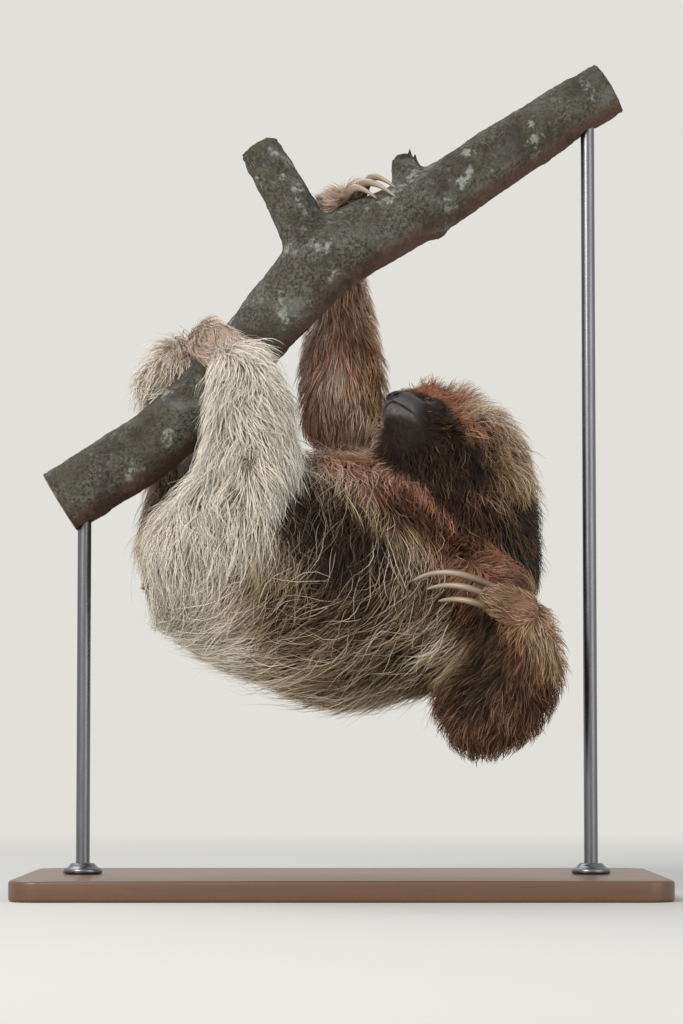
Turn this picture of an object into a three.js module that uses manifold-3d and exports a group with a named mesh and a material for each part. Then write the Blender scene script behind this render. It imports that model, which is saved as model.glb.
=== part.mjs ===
// Maned three-toed sloth, life size, hanging belly-up under a cut length of branch on a plain display stand.
// Units are millimetres. +Z is up, +X runs towards the animal's head end, +Y towards its right side.
// The origin is the centre of the stand's underside. Flesh solids are drawn out to the tips of the coat.
import * as THREE from 'three';
import { mergeVertices } from 'three/addons/utils/BufferGeometryUtils.js';
import Module from 'manifold-3d';

const wasm = await Module();
wasm.setup();

// ---------- driving dimensions ----------
const GAP = 0.5; // clearance between neighbouring pieces
const TIDY = 0.24; // how far a cut edge may move when its slivers are merged
const BASE = { length: 556, width: 320, height: 18, corner: 26, bevel: 3 };
const ROD = { radius: 6, leftX: -226, rightX: 218, intoBranch: 4 };
const COLLAR = { radius: 17, height: 9 };
const LATERAL = new THREE.Vector3(0, 1, 0); // the animal's side-to-side direction
const MOUTH = { corner: 26, front: 62, height: -13, drop: 4, depth: 34, throat: 16 };
const EYE = { radius: 6.4, along: [22, 19, 9], sunk: 4.6 };
const NOSE = { behind: 44.5, lip: -9.5, nostrilRadius: 2.2, nostrilApart: 4.6, nostrilDepth: 7 };
const FORE_CLAW = { width: 3.3, depth: 4.6 };
const HIND_CLAW = { width: 3.1, depth: 4.3 };
const TOE_PITCH = 12.5; // from one hind claw to the next, along the branch

// ---------- colours and finishes ----------
const coat = (colour) => new THREE.MeshStandardMaterial({ color: colour, roughness: 0.95, metalness: 0 });
const BUFF = coat(0xa8957a);
const PALE = coat(0xc2b59c);
const RUSTY = coat(0x9a6a48);
const BROWN = coat(0x6f5340);
const DARK_FACE = coat(0x2e2723);
const BLACK_MANE = coat(0x17171a);
const NOSE_SKIN = new THREE.MeshStandardMaterial({ color: 0x22242a, roughness: 0.55, metalness: 0 });
const EYE_GLASS = new THREE.MeshStandardMaterial({ color: 0x0d0a08, roughness: 0.08, metalness: 0 });
const CLAW_HORN = new THREE.MeshStandardMaterial({ color: 0xb8a78a, roughness: 0.42, metalness: 0 });
const BARK = new THREE.MeshStandardMaterial({ color: 0x77736a, roughness: 0.92, metalness: 0 });
const WALNUT = new THREE.MeshStandardMaterial({ color: 0x4a3527, roughness: 0.5, metalness: 0 });
const DARK_STEEL = new THREE.MeshStandardMaterial({ color: 0x3b3d40, roughness: 0.45, metalness: 0.8 });

// ---------- helpers ----------
const vec = (p) => new THREE.Vector3(p[0], p[1], p[2]);

// A closed indexed geometry from rings of points, with a pole point at each end.
function lathed(rings, firstPole, lastPole) {
  const sides = rings[0].length;
  const points = [firstPole, ...rings.flat(), lastPole];
  const last = points.length - 1;
  const at = (ring, side) => 1 + ring * sides + (side % sides);
  const faces = [];
  for (let s = 0; s < sides; s++) {
    faces.push(0, at(0, s + 1), at(0, s));
    for (let r = 0; r + 1 < rings.length; r++) {
      faces.push(at(r, s), at(r, s + 1), at(r + 1, s));
      faces.push(at(r, s + 1), at(r + 1, s + 1), at(r + 1, s));
    }
    faces.push(at(rings.length - 1, s), at(rings.length - 1, s + 1), last);
  }
  return new THREE.BufferGeometry().setFromPoints(points).setIndex(faces);
}

// A solid of changing girth along a smooth line through stations [x, y, z, side, up, down]. The line runs from the
// first station to the last; side, up and down are half-widths along the lateral direction and at right angles to it.
// domes are the lengths of the rounded ends, and 0 leaves a flat sawn end. grow thickens the whole solid.
function sweep(stations, { lateral = LATERAL, rings = 7, sides = 12, domes = [20, 20], domeSteps = 3, grow = 0 } = {}) {
  const path = new THREE.CatmullRomCurve3(stations.map(vec), false, 'centripetal');
  const girth = new THREE.CatmullRomCurve3(stations.map((s) => vec(s.slice(3))), false, 'catmullrom', 0.5);
  const places = [];
  for (let i = domeSteps - 1; i > 0 && domes[0] > 0; i--) places.push({ t: 0, dome: -i / domeSteps });
  for (let i = 0; i < rings; i++) places.push({ t: i / (rings - 1), dome: 0 });
  for (let i = 1; i < domeSteps && domes[1] > 0; i++) places.push({ t: 1, dome: i / domeSteps });
  const onLine = ({ t, dome }) => {
    const length = dome < 0 ? domes[0] : domes[1];
    const reach = (length > 0 ? length + grow : grow) * Math.sin((dome * Math.PI) / 2);
    return path.getPoint(t).addScaledVector(path.getTangent(t), dome === 0 ? 0 : reach);
  };
  const ringAt = (place) => {
    const centre = onLine(place);
    const along = path.getTangent(place.t);
    const side = lateral.clone().addScaledVector(along, -lateral.dot(along)).normalize();
    const up = along.clone().cross(side);
    const half = girth.getPoint(place.t);
    const shrink = Math.cos((place.dome * Math.PI) / 2);
    return Array.from({ length: sides }, (_, k) => {
      const angle = (2 * Math.PI * k) / sides;
      const vertical = Math.sin(angle) > 0 ? half.y : half.z;
      return centre
        .clone()
        .addScaledVector(side, Math.cos(angle) * (half.x + grow) * shrink)
        .addScaledVector(up, Math.sin(angle) * (vertical + grow) * shrink);
    });
  };
  const pole = (t, sign, length) =>
    path.getPoint(t).addScaledVector(path.getTangent(t), sign * (length > 0 ? length + grow : grow));
  return lathed(places.map(ringAt), pole(0, -1, domes[0]), pole(1, 1, domes[1]));
}

// A three.js geometry as a manifold solid.
function solid(geometry) {
  const bare = new THREE.BufferGeometry().setAttribute('position', geometry.getAttribute('position'));
  if (geometry.index) bare.setIndex(geometry.index);
  const merged = mergeVertices(bare, 1e-4);
  const triVerts = new Uint32Array(merged.index.array);
  return new wasm.Manifold(
    new wasm.Mesh({ numProp: 3, vertProperties: merged.getAttribute('position').array, triVerts }),
  );
}

function geometryOf(body) {
  const mesh = body.getMesh();
  const width = mesh.numProp;
  const places = new Float32Array(mesh.numVert * 3);
  for (let i = 0; i < mesh.numVert; i++) {
    places.set(mesh.vertProperties.subarray(i * width, i * width + 3), i * 3);
  }
  const geometry = new THREE.BufferGeometry().setAttribute('position', new THREE.BufferAttribute(places, 3));
  geometry.setIndex(new THREE.BufferAttribute(mesh.triVerts, 1));
  geometry.computeVertexNormals();
  return geometry;
}

const largest = (body) => body.decompose().reduce((a, b) => (b.volume() > a.volume() ? b : a));

const model = new THREE.Group();
const taken = []; // solids already placed, each thickened by the clearance

function place(name, body, material) {
  const mesh = new THREE.Mesh(geometryOf(body), material);
  mesh.name = name;
  model.add(mesh);
}

// Cuts a piece back from everything placed before it, keeps its main part, and adds it to the model.
// make(grow) gives the piece's solid, thickened by grow.
function settle(name, make, material) {
  const cut = taken.reduce((body, other) => body.subtract(other), make(0));
  place(name, largest(cut).simplify(TIDY), material);
  taken.push(make(GAP));
}

const swept = (stations, options) => (grow) => solid(sweep(stations, { ...options, grow }));

// ---------- display stand ----------
function standBase() {
  const halfLength = BASE.length / 2 - BASE.bevel;
  const halfWidth = BASE.width / 2 - BASE.bevel;
  const corner = BASE.corner - BASE.bevel;
  const outline = new THREE.Shape();
  [[1, 1, 0], [-1, 1, 1], [-1, -1, 2], [1, -1, 3]].forEach(([sx, sy, quarter]) => {
    const start = (quarter * Math.PI) / 2;
    outline.absarc(sx * (halfLength - corner), sy * (halfWidth - corner), corner, start, start + Math.PI / 2, false);
  });
  const board = new THREE.ExtrudeGeometry(outline, {
    depth: BASE.height - 2 * BASE.bevel,
    bevelThickness: BASE.bevel,
    bevelSize: BASE.bevel,
    bevelSegments: 1,
    curveSegments: 3,
  });
  return solid(board.translate(0, 0, BASE.bevel));
}

// A cylinder standing on its lower end, at x on the base's long centre line.
function upright(radius, x, bottom, top, sides = 14) {
  const bar = new THREE.CylinderGeometry(radius, radius, top - bottom, sides);
  return solid(bar.rotateX(Math.PI / 2).translate(x, 0, (top + bottom) / 2));
}

// ---------- branch: main limb, fork and two knots, one piece of wood ----------
const BRANCH_LINE = [
  [-248, 0, 343, 31, 31, 31],
  [-204, 0, 370, 31, 31, 31],
  [-173, 0, 391, 30, 30, 30],
  [-137, 0, 420, 30, 30, 30],
  [-98, 0, 462, 29, 29, 29],
  [-59, 0, 507, 30, 31, 30],
  [-10, 0, 560, 35, 38, 33],
  [34, 0, 585, 32, 33, 31],
  [78, 0, 609, 30, 30, 30],
  [176, 0, 675, 28, 28, 28],
  [237, 0, 712, 26, 26, 26],
];
const FORK_LINE = [
  [-20, 0, 556, 24, 24, 24],
  [-40, 8, 600, 23, 23, 23],
  [-57, 16, 633, 21, 21, 21],
  [-73, 24, 662, 20, 20, 20],
];
const BROKEN_STUB = [
  [64, 2, 606, 17, 17, 17],
  [58, 6, 634, 14, 15, 15],
  [54, 8, 652, 12, 13, 13],
];
const UNDER_KNOT = [
  [84, -4, 600, 14, 14, 14],
  [86, -8, 577, 9, 9, 9],
];

function branchWood(grow) {
  const sawn = { domes: [0, 0], grow };
  const limb = solid(sweep(BRANCH_LINE, { ...sawn, rings: 16, sides: 15 }));
  const fork = solid(sweep(FORK_LINE, { ...sawn, rings: 4, sides: 12 }));
  const stub = solid(sweep(BROKEN_STUB, { ...sawn, rings: 3, sides: 10 }));
  const knot = solid(sweep(UNDER_KNOT, { domes: [0, 4], domeSteps: 1, grow, rings: 2, sides: 8 }));
  return limb.add(fork).add(stub).add(knot);
}

// The branch's centre line at a share of its length, with the direction along it and square to it, up and to the left.
const branchCurve = new THREE.CatmullRomCurve3(BRANCH_LINE.map(vec), false, 'centripetal');
function onBranch(x) {
  let low = 0;
  let high = 1;
  for (let i = 0; i < 30; i++) {
    const middle = (low + high) / 2;
    if (branchCurve.getPoint(middle).x < x) low = middle;
    else high = middle;
  }
  const along = branchCurve.getTangent(low);
  return { centre: branchCurve.getPoint(low), along, over: new THREE.Vector3(-along.z, 0, along.x).normalize() };
}

// A point beside the branch: angle 0 is on the side that near (-1 left, +1 right of the animal) says, 90 is the top.
function round(grip, near, degrees, distance, shift = 0) {
  const angle = (degrees * Math.PI) / 180;
  return grip.centre
    .clone()
    .addScaledVector(LATERAL, near * distance * Math.cos(angle))
    .addScaledVector(grip.over, distance * Math.sin(angle))
    .addScaledVector(grip.along, shift);
}

// ---------- trunk, neck, tail and mane ----------
const TRUNK = [
  [-146, 0, 304, 50, 48, 46],
  [-124, 0, 286, 68, 64, 66],
  [-82, 0, 272, 84, 90, 88],
  [-40, 0, 272, 92, 124, 105],
  [6, 2, 268, 94, 122, 114],
  [51, 2, 262, 89, 112, 103],
  [86, 0, 259, 77, 88, 84],
  [109, 0, 260, 60, 64, 62],
];
const NECK = [
  [143, 0, 262, 42, 40, 30],
  [138, 0, 306, 52, 68, 36],
  [120, 0, 354, 56, 72, 54],
  [103, 0, 393, 50, 62, 56],
];
const MANE = [
  [146, 0, 350, 40, 30, 24],
  [159, 0, 314, 44, 24, 15],
  [163, 0, 288, 32, 14, 9],
];
const TAIL = [
  [-140, 0, 270, 21, 17, 17],
  [-161, 0, 267, 16, 13, 13],
  [-175, 0, 269, 10, 9, 9],
];

// ---------- head ----------
// The head's own frame: x forward to the nose, y to its left, z up to the crown, from the middle of the brain case.
const HEAD = { centre: [71, -2, 407], yaw: 48, pitch: 40, roll: 10 };
function headMatrix() {
  const yaw = (HEAD.yaw * Math.PI) / 180;
  const pitch = (HEAD.pitch * Math.PI) / 180;
  const forward = new THREE.Vector3(
    -Math.cos(pitch) * Math.cos(yaw),
    -Math.cos(pitch) * Math.sin(yaw),
    Math.sin(pitch),
  );
  const left = new THREE.Vector3(0, 0, 1).cross(forward).normalize();
  left.applyAxisAngle(forward, (HEAD.roll * Math.PI) / 180);
  const up = forward.clone().cross(left);
  return new THREE.Matrix4().makeBasis(forward, left, up).setPosition(vec(HEAD.centre));
}
const headToWorld = headMatrix();

// Rounded masses that make up the head: centre, then half-sizes.
const HEAD_MASSES = [
  { at: [-10, 0, 8], half: [37, 41, 40] }, // brain case
  { at: [-36, 0, 22], half: [46, 48, 46] }, // long hair of the crown and nape
  { at: [1, 0, 29], half: [25, 28, 20] }, // fringe over the forehead
  { at: [-4, 20, -14], half: [28, 22, 26] }, // left cheek
  { at: [-4, -20, -14], half: [28, 22, 26] }, // right cheek
  { at: [22, 0, -5], half: [25, 21, 17] }, // muzzle
  { at: [37, 0, -5], half: [13, 14.5, 11] }, // snout
  { at: [22, 0, -19], half: [21, 18, 12] }, // chin
  { at: [-8, 0, -30], half: [34, 36, 28] }, // throat
];
const HEAD_BLEND = 9; // how softly the masses run together

function massDistance(point, { at, half }) {
  const scaled = new THREE.Vector3((point.x - at[0]) / half[0], (point.y - at[1]) / half[1], (point.z - at[2]) / half[2]);
  const steep = new THREE.Vector3(scaled.x / half[0], scaled.y / half[1], scaled.z / half[2]);
  const reach = scaled.length();
  return (reach * (reach - 1)) / Math.max(steep.length(), 1e-9);
}

function headDistance(point) {
  return HEAD_MASSES.map((mass) => massDistance(point, mass)).reduce((a, b) => {
    const share = Math.max(HEAD_BLEND - Math.abs(a - b), 0) / HEAD_BLEND;
    return Math.min(a, b) - (share * share * HEAD_BLEND) / 4;
  });
}

// The head's surface along a direction from its centre, thickened by grow.
function headSurface(direction, grow = 0) {
  const ray = direction.clone().normalize();
  let inside = 0;
  let outside = 140;
  for (let i = 0; i < 30; i++) {
    const middle = (inside + outside) / 2;
    if (headDistance(ray.clone().multiplyScalar(middle)) < grow) inside = middle;
    else outside = middle;
  }
  return ray.multiplyScalar(inside);
}

const HEAD_RINGS = 18;
const HEAD_SIDES = 18;
function headBlob(grow) {
  // Rings lie closer together towards the snout, where the shape changes fastest.
  const rings = Array.from({ length: HEAD_RINGS }, (_, r) => {
    const share = (r + 1) / (HEAD_RINGS + 1);
    const polar = Math.PI * Math.pow(share, 1.35);
    return Array.from({ length: HEAD_SIDES }, (_, s) => {
      const turn = (2 * Math.PI * s) / HEAD_SIDES;
      const direction = new THREE.Vector3(
        Math.cos(polar),
        Math.sin(polar) * Math.cos(turn),
        Math.sin(polar) * Math.sin(turn),
      );
      return headSurface(direction, grow);
    });
  });
  const poles = [1, -1].map((x) => headSurface(new THREE.Vector3(x, 0, 0), grow));
  return solid(lathed(rings.map((ring) => ring.reverse()), poles[0], poles[1]));
}

function eyeCentre(side) {
  const outward = new THREE.Vector3(EYE.along[0], side * EYE.along[1], EYE.along[2]);
  const surface = headSurface(outward);
  return surface.addScaledVector(outward.normalize(), -EYE.sunk);
}

function eyeBall(side, grow) {
  const centre = eyeCentre(side);
  return solid(new THREE.SphereGeometry(EYE.radius + grow, 12, 8).translate(centre.x, centre.y, centre.z));
}

// A block over the front of the lower jaw, in the head's frame: its upper face is the line of the mouth.
function jawBlock(grow) {
  const profile = new THREE.Shape();
  profile.moveTo(MOUTH.corner - grow, MOUTH.height - MOUTH.drop + grow);
  profile.quadraticCurveTo(MOUTH.corner + 12, MOUTH.height - 1 + grow, MOUTH.front, MOUTH.height + 1.5 + grow);
  profile.lineTo(MOUTH.front, MOUTH.height - MOUTH.depth);
  profile.lineTo(MOUTH.throat - grow, MOUTH.height - MOUTH.depth);
  const reach = 40;
  const block = new THREE.ExtrudeGeometry(profile, { depth: 2 * reach, bevelEnabled: false, curveSegments: 5 });
  return solid(block.translate(0, 0, -reach).rotateX(Math.PI / 2));
}

// A box over the bare nose, in the head's frame.
function noseBlock(grow) {
  const size = 40;
  const block = new THREE.BoxGeometry(size, size, size);
  return solid(block.translate(NOSE.behind + size / 2 - grow, 0, NOSE.lip + size / 2 - grow));
}

function nostril(side) {
  const hole = new THREE.CylinderGeometry(NOSE.nostrilRadius, NOSE.nostrilRadius * 0.6, NOSE.nostrilDepth, 10);
  hole.rotateZ(-Math.PI / 2).rotateZ(side * 0.35);
  const front = headSurface(new THREE.Vector3(50, side * NOSE.nostrilApart, -4));
  return solid(hole.translate(front.x - 1, front.y, front.z));
}

// ---------- limbs ----------
// Left fore limb: hangs from the shoulder, folds at the elbow, and the hand scratches the left flank.
const LEFT_ARM = {
  upper: [
    [96, -38, 268, 38, 42, 42],
    [130, -50, 255, 36, 36, 36],
    [133, -44, 208, 37, 38, 36],
    [117, -30, 162, 40, 44, 42],
  ],
  fore: [
    [118, -30, 156, 42, 46, 45],
    [141, -52, 166, 40, 42, 42],
    [158, -80, 199, 36, 34, 38],
    [155, -112, 234, 30, 26, 30],
  ],
  hand: [
    [154, -115, 238, 26, 22, 24],
    [138, -122, 250, 21, 17, 18],
    [122, -121, 255, 18, 12, 13],
  ],
  claws: [
    { base: [124, -118, 265], bend: [86, -128, 284], tip: [60, -101, 269] },
    { base: [124, -121, 255], bend: [96, -133, 270], tip: [72, -103, 262] },
    { base: [124, -118, 246], bend: [100, -128, 256], tip: [82, -101, 252] },
  ],
};
// Right fore limb: reaches up behind the branch, and the hand hooks over its top towards the left.
const RIGHT_ARM = {
  upper: [
    [92, 32, 306, 40, 42, 42],
    [76, 50, 342, 44, 44, 44],
    [42, 62, 386, 44, 44, 44],
    [8, 68, 414, 42, 42, 42],
  ],
  fore: [
    [1, 68, 420, 44, 44, 46],
    [0, 68, 455, 40, 42, 46],
    [-1, 67, 490, 36, 39, 41],
    [0, 65, 520, 31, 32, 33],
    [0, 62, 560, 24, 24, 24],
  ],
  near: 1,
  grip: onBranch(34),
  // Stations round the branch: angle, distance from the branch's centre line, shift along it, then half-widths.
  handRound: [
    [2, 63, -32, 23, 21, 21],
    [35, 55, -27, 22, 17, 18],
    [68, 47, -19, 21, 12, 13],
    [92, 44, -9, 18, 9, 10],
  ],
  clawsRound: [
    { from: [92, -12], to: [140, 9] },
    { from: [86, -3], to: [155, 24] },
    { from: [78, 5], to: [140, 28] },
  ],
};
// Left hind limb: up the left side of the branch, foot over the top, claws down behind it.
const LEFT_LEG = {
  near: -1,
  grip: onBranch(-95),
  thigh: [
    [-128, -34, 282, 52, 56, 56],
    [-104, -56, 318, 50, 54, 52],
    [-84, -68, 352, 46, 48, 46],
  ],
  shank: [
    [-80, -66, 362, 46, 48, 46],
    [-80, -64, 404, 43, 44, 44],
    [-84, -58, 442, 38, 36, 36],
    [-92, -52, 464, 33, 30, 30],
  ],
  foot: { from: -20, to: 88, half: [24, 11, 11], heel: [30, 18, 18], drift: 0 },
  claws: { from: 84, to: 176 },
};
// Right hind limb: up the right side of the branch beside the other, foot over the top from behind.
const RIGHT_LEG = {
  near: 1,
  grip: onBranch(-121),
  thigh: [
    [-134, 34, 290, 50, 48, 48],
    [-144, 66, 326, 44, 40, 40],
    [-145, 84, 370, 42, 38, 38],
  ],
  shank: [
    [-145, 84, 376, 42, 39, 39],
    [-146, 78, 414, 39, 38, 38],
    [-144, 68, 446, 38, 36, 36],
  ],
  foot: { from: -6, to: 76, half: [31, 18, 16], heel: [44, 23, 21], drift: -6 },
  claws: { from: 66, to: 106 },
};

// A claw along a line, flattened from side to side and drawn to a point. line(share, taper) is a point of its middle.
function clawHorn(line, lateral, { width, depth }, grow) {
  const steps = 5;
  const stations = Array.from({ length: steps + 1 }, (_, i) => {
    const share = i / steps;
    const taper = Math.pow(1 - share, 0.7) * 0.86 + 0.14;
    return [...line(share, taper).toArray(), width * taper, depth * taper, depth * taper];
  });
  return solid(sweep(stations, { lateral, rings: steps + 1, sides: 6, domes: [2, 1.6], domeSteps: 1, grow }));
}

// The middle of a claw that lies round the branch, arched a little off the bark.
function roundBranch({ near, grip, from, to, radius, depth, arch }) {
  return (share, taper) => {
    const [degrees, shift] = from.map((start, k) => start + (to[k] - start) * share);
    return round(grip, near, degrees, radius + 1.5 + depth * taper + arch * Math.sin(Math.PI * share), shift);
  };
}

// A foot that lies round the branch, from its heel to the roots of its toes.
function footStations({ near, grip, foot }) {
  const steps = 3;
  return Array.from({ length: steps + 1 }, (_, i) => {
    const share = i / steps;
    const degrees = foot.from + (foot.to - foot.from) * share;
    const half = foot.heel.map((heel, k) => heel + (foot.half[k] - heel) * Math.sqrt(share));
    const shift = foot.drift * (1 - share);
    return [...round(grip, near, degrees, BRANCH_RADIUS + half[2], shift).toArray(), ...half];
  });
}
const BRANCH_RADIUS = 30; // at the hind feet
const HAND_HOLD_RADIUS = 32.5; // under the right hand

function hindClaw({ near, grip, claws }, index) {
  const shift = (index - 1) * TOE_PITCH;
  const course = { from: [claws.from, shift], to: [claws.to, shift], radius: BRANCH_RADIUS, arch: 4 };
  return roundBranch({ near, grip, ...course, ...HIND_CLAW });
}

// ---------- assembly ----------
const rodBottom = BASE.height + GAP;
const rods = [['left', ROD.leftX], ['right', ROD.rightX]].map(([side, x]) => ({
  side,
  x,
  top: onBranch(x).centre.z + ROD.intoBranch,
}));

place('stand_base', standBase(), WALNUT);
for (const { side, x, top } of rods) {
  place(`stand_rod_${side}`, upright(ROD.radius, x, rodBottom, top), DARK_STEEL);
  const sleeve = upright(COLLAR.radius, x, rodBottom, rodBottom + COLLAR.height);
  place(`stand_collar_${side}`, sleeve.subtract(upright(ROD.radius + GAP, x, 0, 100)), DARK_STEEL);
}
const sockets = rods.map(({ x, top }) => upright(ROD.radius + GAP, x, 0, top + GAP));
place('perch_branch', sockets.reduce((wood, hole) => wood.subtract(hole), branchWood(0)), BARK);
taken.push(branchWood(GAP));

// Head: the eyes sit in sockets, the nose and the lower jaw part from it along thin cuts.
const inWorld = (body) => body.transform(headToWorld.elements);
const eyes = { left: 1, right: -1 };
const sockets3 = Object.values(eyes).map((side) => eyeBall(side, GAP));
const wholeHead = sockets3.reduce((body, socket) => body.subtract(socket), headBlob(0));
const headWithoutJaw = wholeHead.subtract(jawBlock(GAP));
const nose = headWithoutJaw.intersect(noseBlock(0)).subtract(nostril(1)).subtract(nostril(-1));
place('head', largest(inWorld(headWithoutJaw.subtract(noseBlock(GAP)))), DARK_FACE);
place('nose', largest(inWorld(nose)), NOSE_SKIN);
place('lower_jaw', largest(inWorld(wholeHead.intersect(jawBlock(0)))), DARK_FACE);
for (const [side, sign] of Object.entries(eyes)) place(`${side}_eye`, inWorld(eyeBall(sign, 0)), EYE_GLASS);
taken.push(inWorld(headBlob(GAP)));

settle('trunk', swept(TRUNK, { rings: 10, sides: 18, domes: [36, 34] }), BUFF);
settle('neck', swept(NECK, { rings: 6, domes: [14, 30] }), BROWN);
settle('mane', swept(MANE, { rings: 5, sides: 12, domes: [14, 12], domeSteps: 2 }), BLACK_MANE);
settle('tail', swept(TAIL, { rings: 3, sides: 10, domes: [10, 8], domeSteps: 2 }), BUFF);

settle('left_upper_arm', swept(LEFT_ARM.upper, { domes: [20, 26] }), BROWN);
settle('left_forearm', swept(LEFT_ARM.fore, { domes: [38, 14] }), BROWN);
settle('left_hand', swept(LEFT_ARM.hand, { rings: 5, sides: 12, domes: [12, 8], domeSteps: 2 }), BUFF);
settle('right_upper_arm', swept(RIGHT_ARM.upper, { domes: [20, 26] }), RUSTY);
settle('right_forearm', swept(RIGHT_ARM.fore, { domes: [34, 15] }), RUSTY);
const rightHand = RIGHT_ARM.handRound.map(([degrees, distance, shift, ...half]) => [
  ...round(RIGHT_ARM.grip, RIGHT_ARM.near, degrees, distance, shift).toArray(),
  ...half,
]);
const overTheTop = { lateral: RIGHT_ARM.grip.along, rings: 7, sides: 12, domes: [8, 6], domeSteps: 2 };
settle('right_hand', swept(rightHand, overTheTop), PALE);

// The left hind claws are placed before the right foot, whose long hair falls over them.
for (const [side, leg] of [['left', LEFT_LEG], ['right', RIGHT_LEG]]) {
  settle(`${side}_thigh`, swept(leg.thigh, { rings: 6, domes: [26, 30] }), PALE);
  settle(`${side}_shank`, swept(leg.shank, { domes: [34, 16] }), PALE);
  const toes = { lateral: leg.grip.along, rings: 6, sides: 12, domes: [14, 8], domeSteps: 2 };
  settle(`${side}_foot`, swept(footStations(leg), toes), PALE);
  for (let i = 0; i < 3; i++) {
    const line = hindClaw(leg, i);
    settle(`${side}_foot_claw_${i + 1}`, (grow) => clawHorn(line, leg.grip.along, HIND_CLAW, grow), CLAW_HORN);
  }
}

const handAcross = vec(LEFT_ARM.claws[0].base).sub(vec(LEFT_ARM.claws[2].base)).normalize();
LEFT_ARM.claws.forEach(({ base, bend, tip }, i) => {
  const arc = new THREE.QuadraticBezierCurve3(vec(base), vec(bend), vec(tip));
  const line = (share) => arc.getPoint(share);
  settle(`left_hand_claw_${i + 1}`, (grow) => clawHorn(line, handAcross, FORE_CLAW, grow), CLAW_HORN);
});
RIGHT_ARM.clawsRound.forEach((course, i) => {
  const line = roundBranch({ ...RIGHT_ARM, ...course, radius: HAND_HOLD_RADIUS, arch: 3, ...FORE_CLAW });
  settle(`right_hand_claw_${i + 1}`, (grow) => clawHorn(line, RIGHT_ARM.grip.along, FORE_CLAW, grow), CLAW_HORN);
});
export default model;
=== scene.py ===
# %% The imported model
import math

import bmesh
import bpy
import numpy as np
from mathutils import Matrix, Vector, noise
from mathutils.bvhtree import BVHTree
from mathutils.kdtree import KDTree


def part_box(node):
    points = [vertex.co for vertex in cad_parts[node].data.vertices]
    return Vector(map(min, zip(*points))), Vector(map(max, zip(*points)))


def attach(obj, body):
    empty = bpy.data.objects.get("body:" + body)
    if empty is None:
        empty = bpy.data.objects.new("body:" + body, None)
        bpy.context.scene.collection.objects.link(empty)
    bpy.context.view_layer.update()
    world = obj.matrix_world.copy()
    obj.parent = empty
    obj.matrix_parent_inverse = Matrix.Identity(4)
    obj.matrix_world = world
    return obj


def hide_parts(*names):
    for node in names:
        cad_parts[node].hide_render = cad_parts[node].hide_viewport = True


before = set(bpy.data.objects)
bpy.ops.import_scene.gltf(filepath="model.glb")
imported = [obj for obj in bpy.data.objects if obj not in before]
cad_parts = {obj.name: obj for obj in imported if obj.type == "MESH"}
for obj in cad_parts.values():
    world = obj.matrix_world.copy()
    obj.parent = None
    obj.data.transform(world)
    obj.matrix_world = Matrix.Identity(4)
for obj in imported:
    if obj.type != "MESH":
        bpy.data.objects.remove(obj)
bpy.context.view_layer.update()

MM = 0.001
SEED = 7

# %% [markdown]
# # A maned three-toed sloth under its branch
# The solids of the frame say where every part of the animal is, out to the tips of its hair. This lesson
# dresses them: one skin under all the flesh, a coat of modelled locks combed over it, and finer claws,
# eyes and bark. Lengths are in metres; `MM` turns the small ones into millimetres that are easier to
# read.
#
# ## Shader sums
# A finish is a sum of masks and colours. Blender's node editor shows such a sum as boxes and wires, but
# in a script it reads better as arithmetic, so `Wire` wraps a socket and lets Python's operators add the
# Math nodes.

# %% Wires and finishes
class Wire:
    """One value or colour in a finish, on which Python's operators add Math nodes."""

    def __init__(self, finish, socket):
        self.finish = finish
        self.socket = socket

    def sum(self, operation, *values, clamp=False):
        return self.finish.node("ShaderNodeMath", {"operation": operation, "use_clamp": clamp}, values)

    def __add__(self, other):
        return self.sum("ADD", self, other)

    def __sub__(self, other):
        return self.sum("SUBTRACT", self, other)

    def __rsub__(self, other):
        return self.sum("SUBTRACT", other, self)

    def __mul__(self, other):
        return self.sum("MULTIPLY", self, other)

    __radd__ = __add__
    __rmul__ = __mul__

    def held(self):
        """The same value, kept between 0 and 1."""
        return self.sum("ADD", self, 0.0, clamp=True)


def paint(red, green, blue):
    """A colour as paint charts give it, from 0 to 255, turned into Blender's linear light."""
    shares = [value / 255 for value in (red, green, blue)]
    linear = [s / 12.92 if s <= 0.04045 else ((s + 0.055) / 1.055) ** 2.4 for s in shares]
    return (*linear, 1.0)


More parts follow.
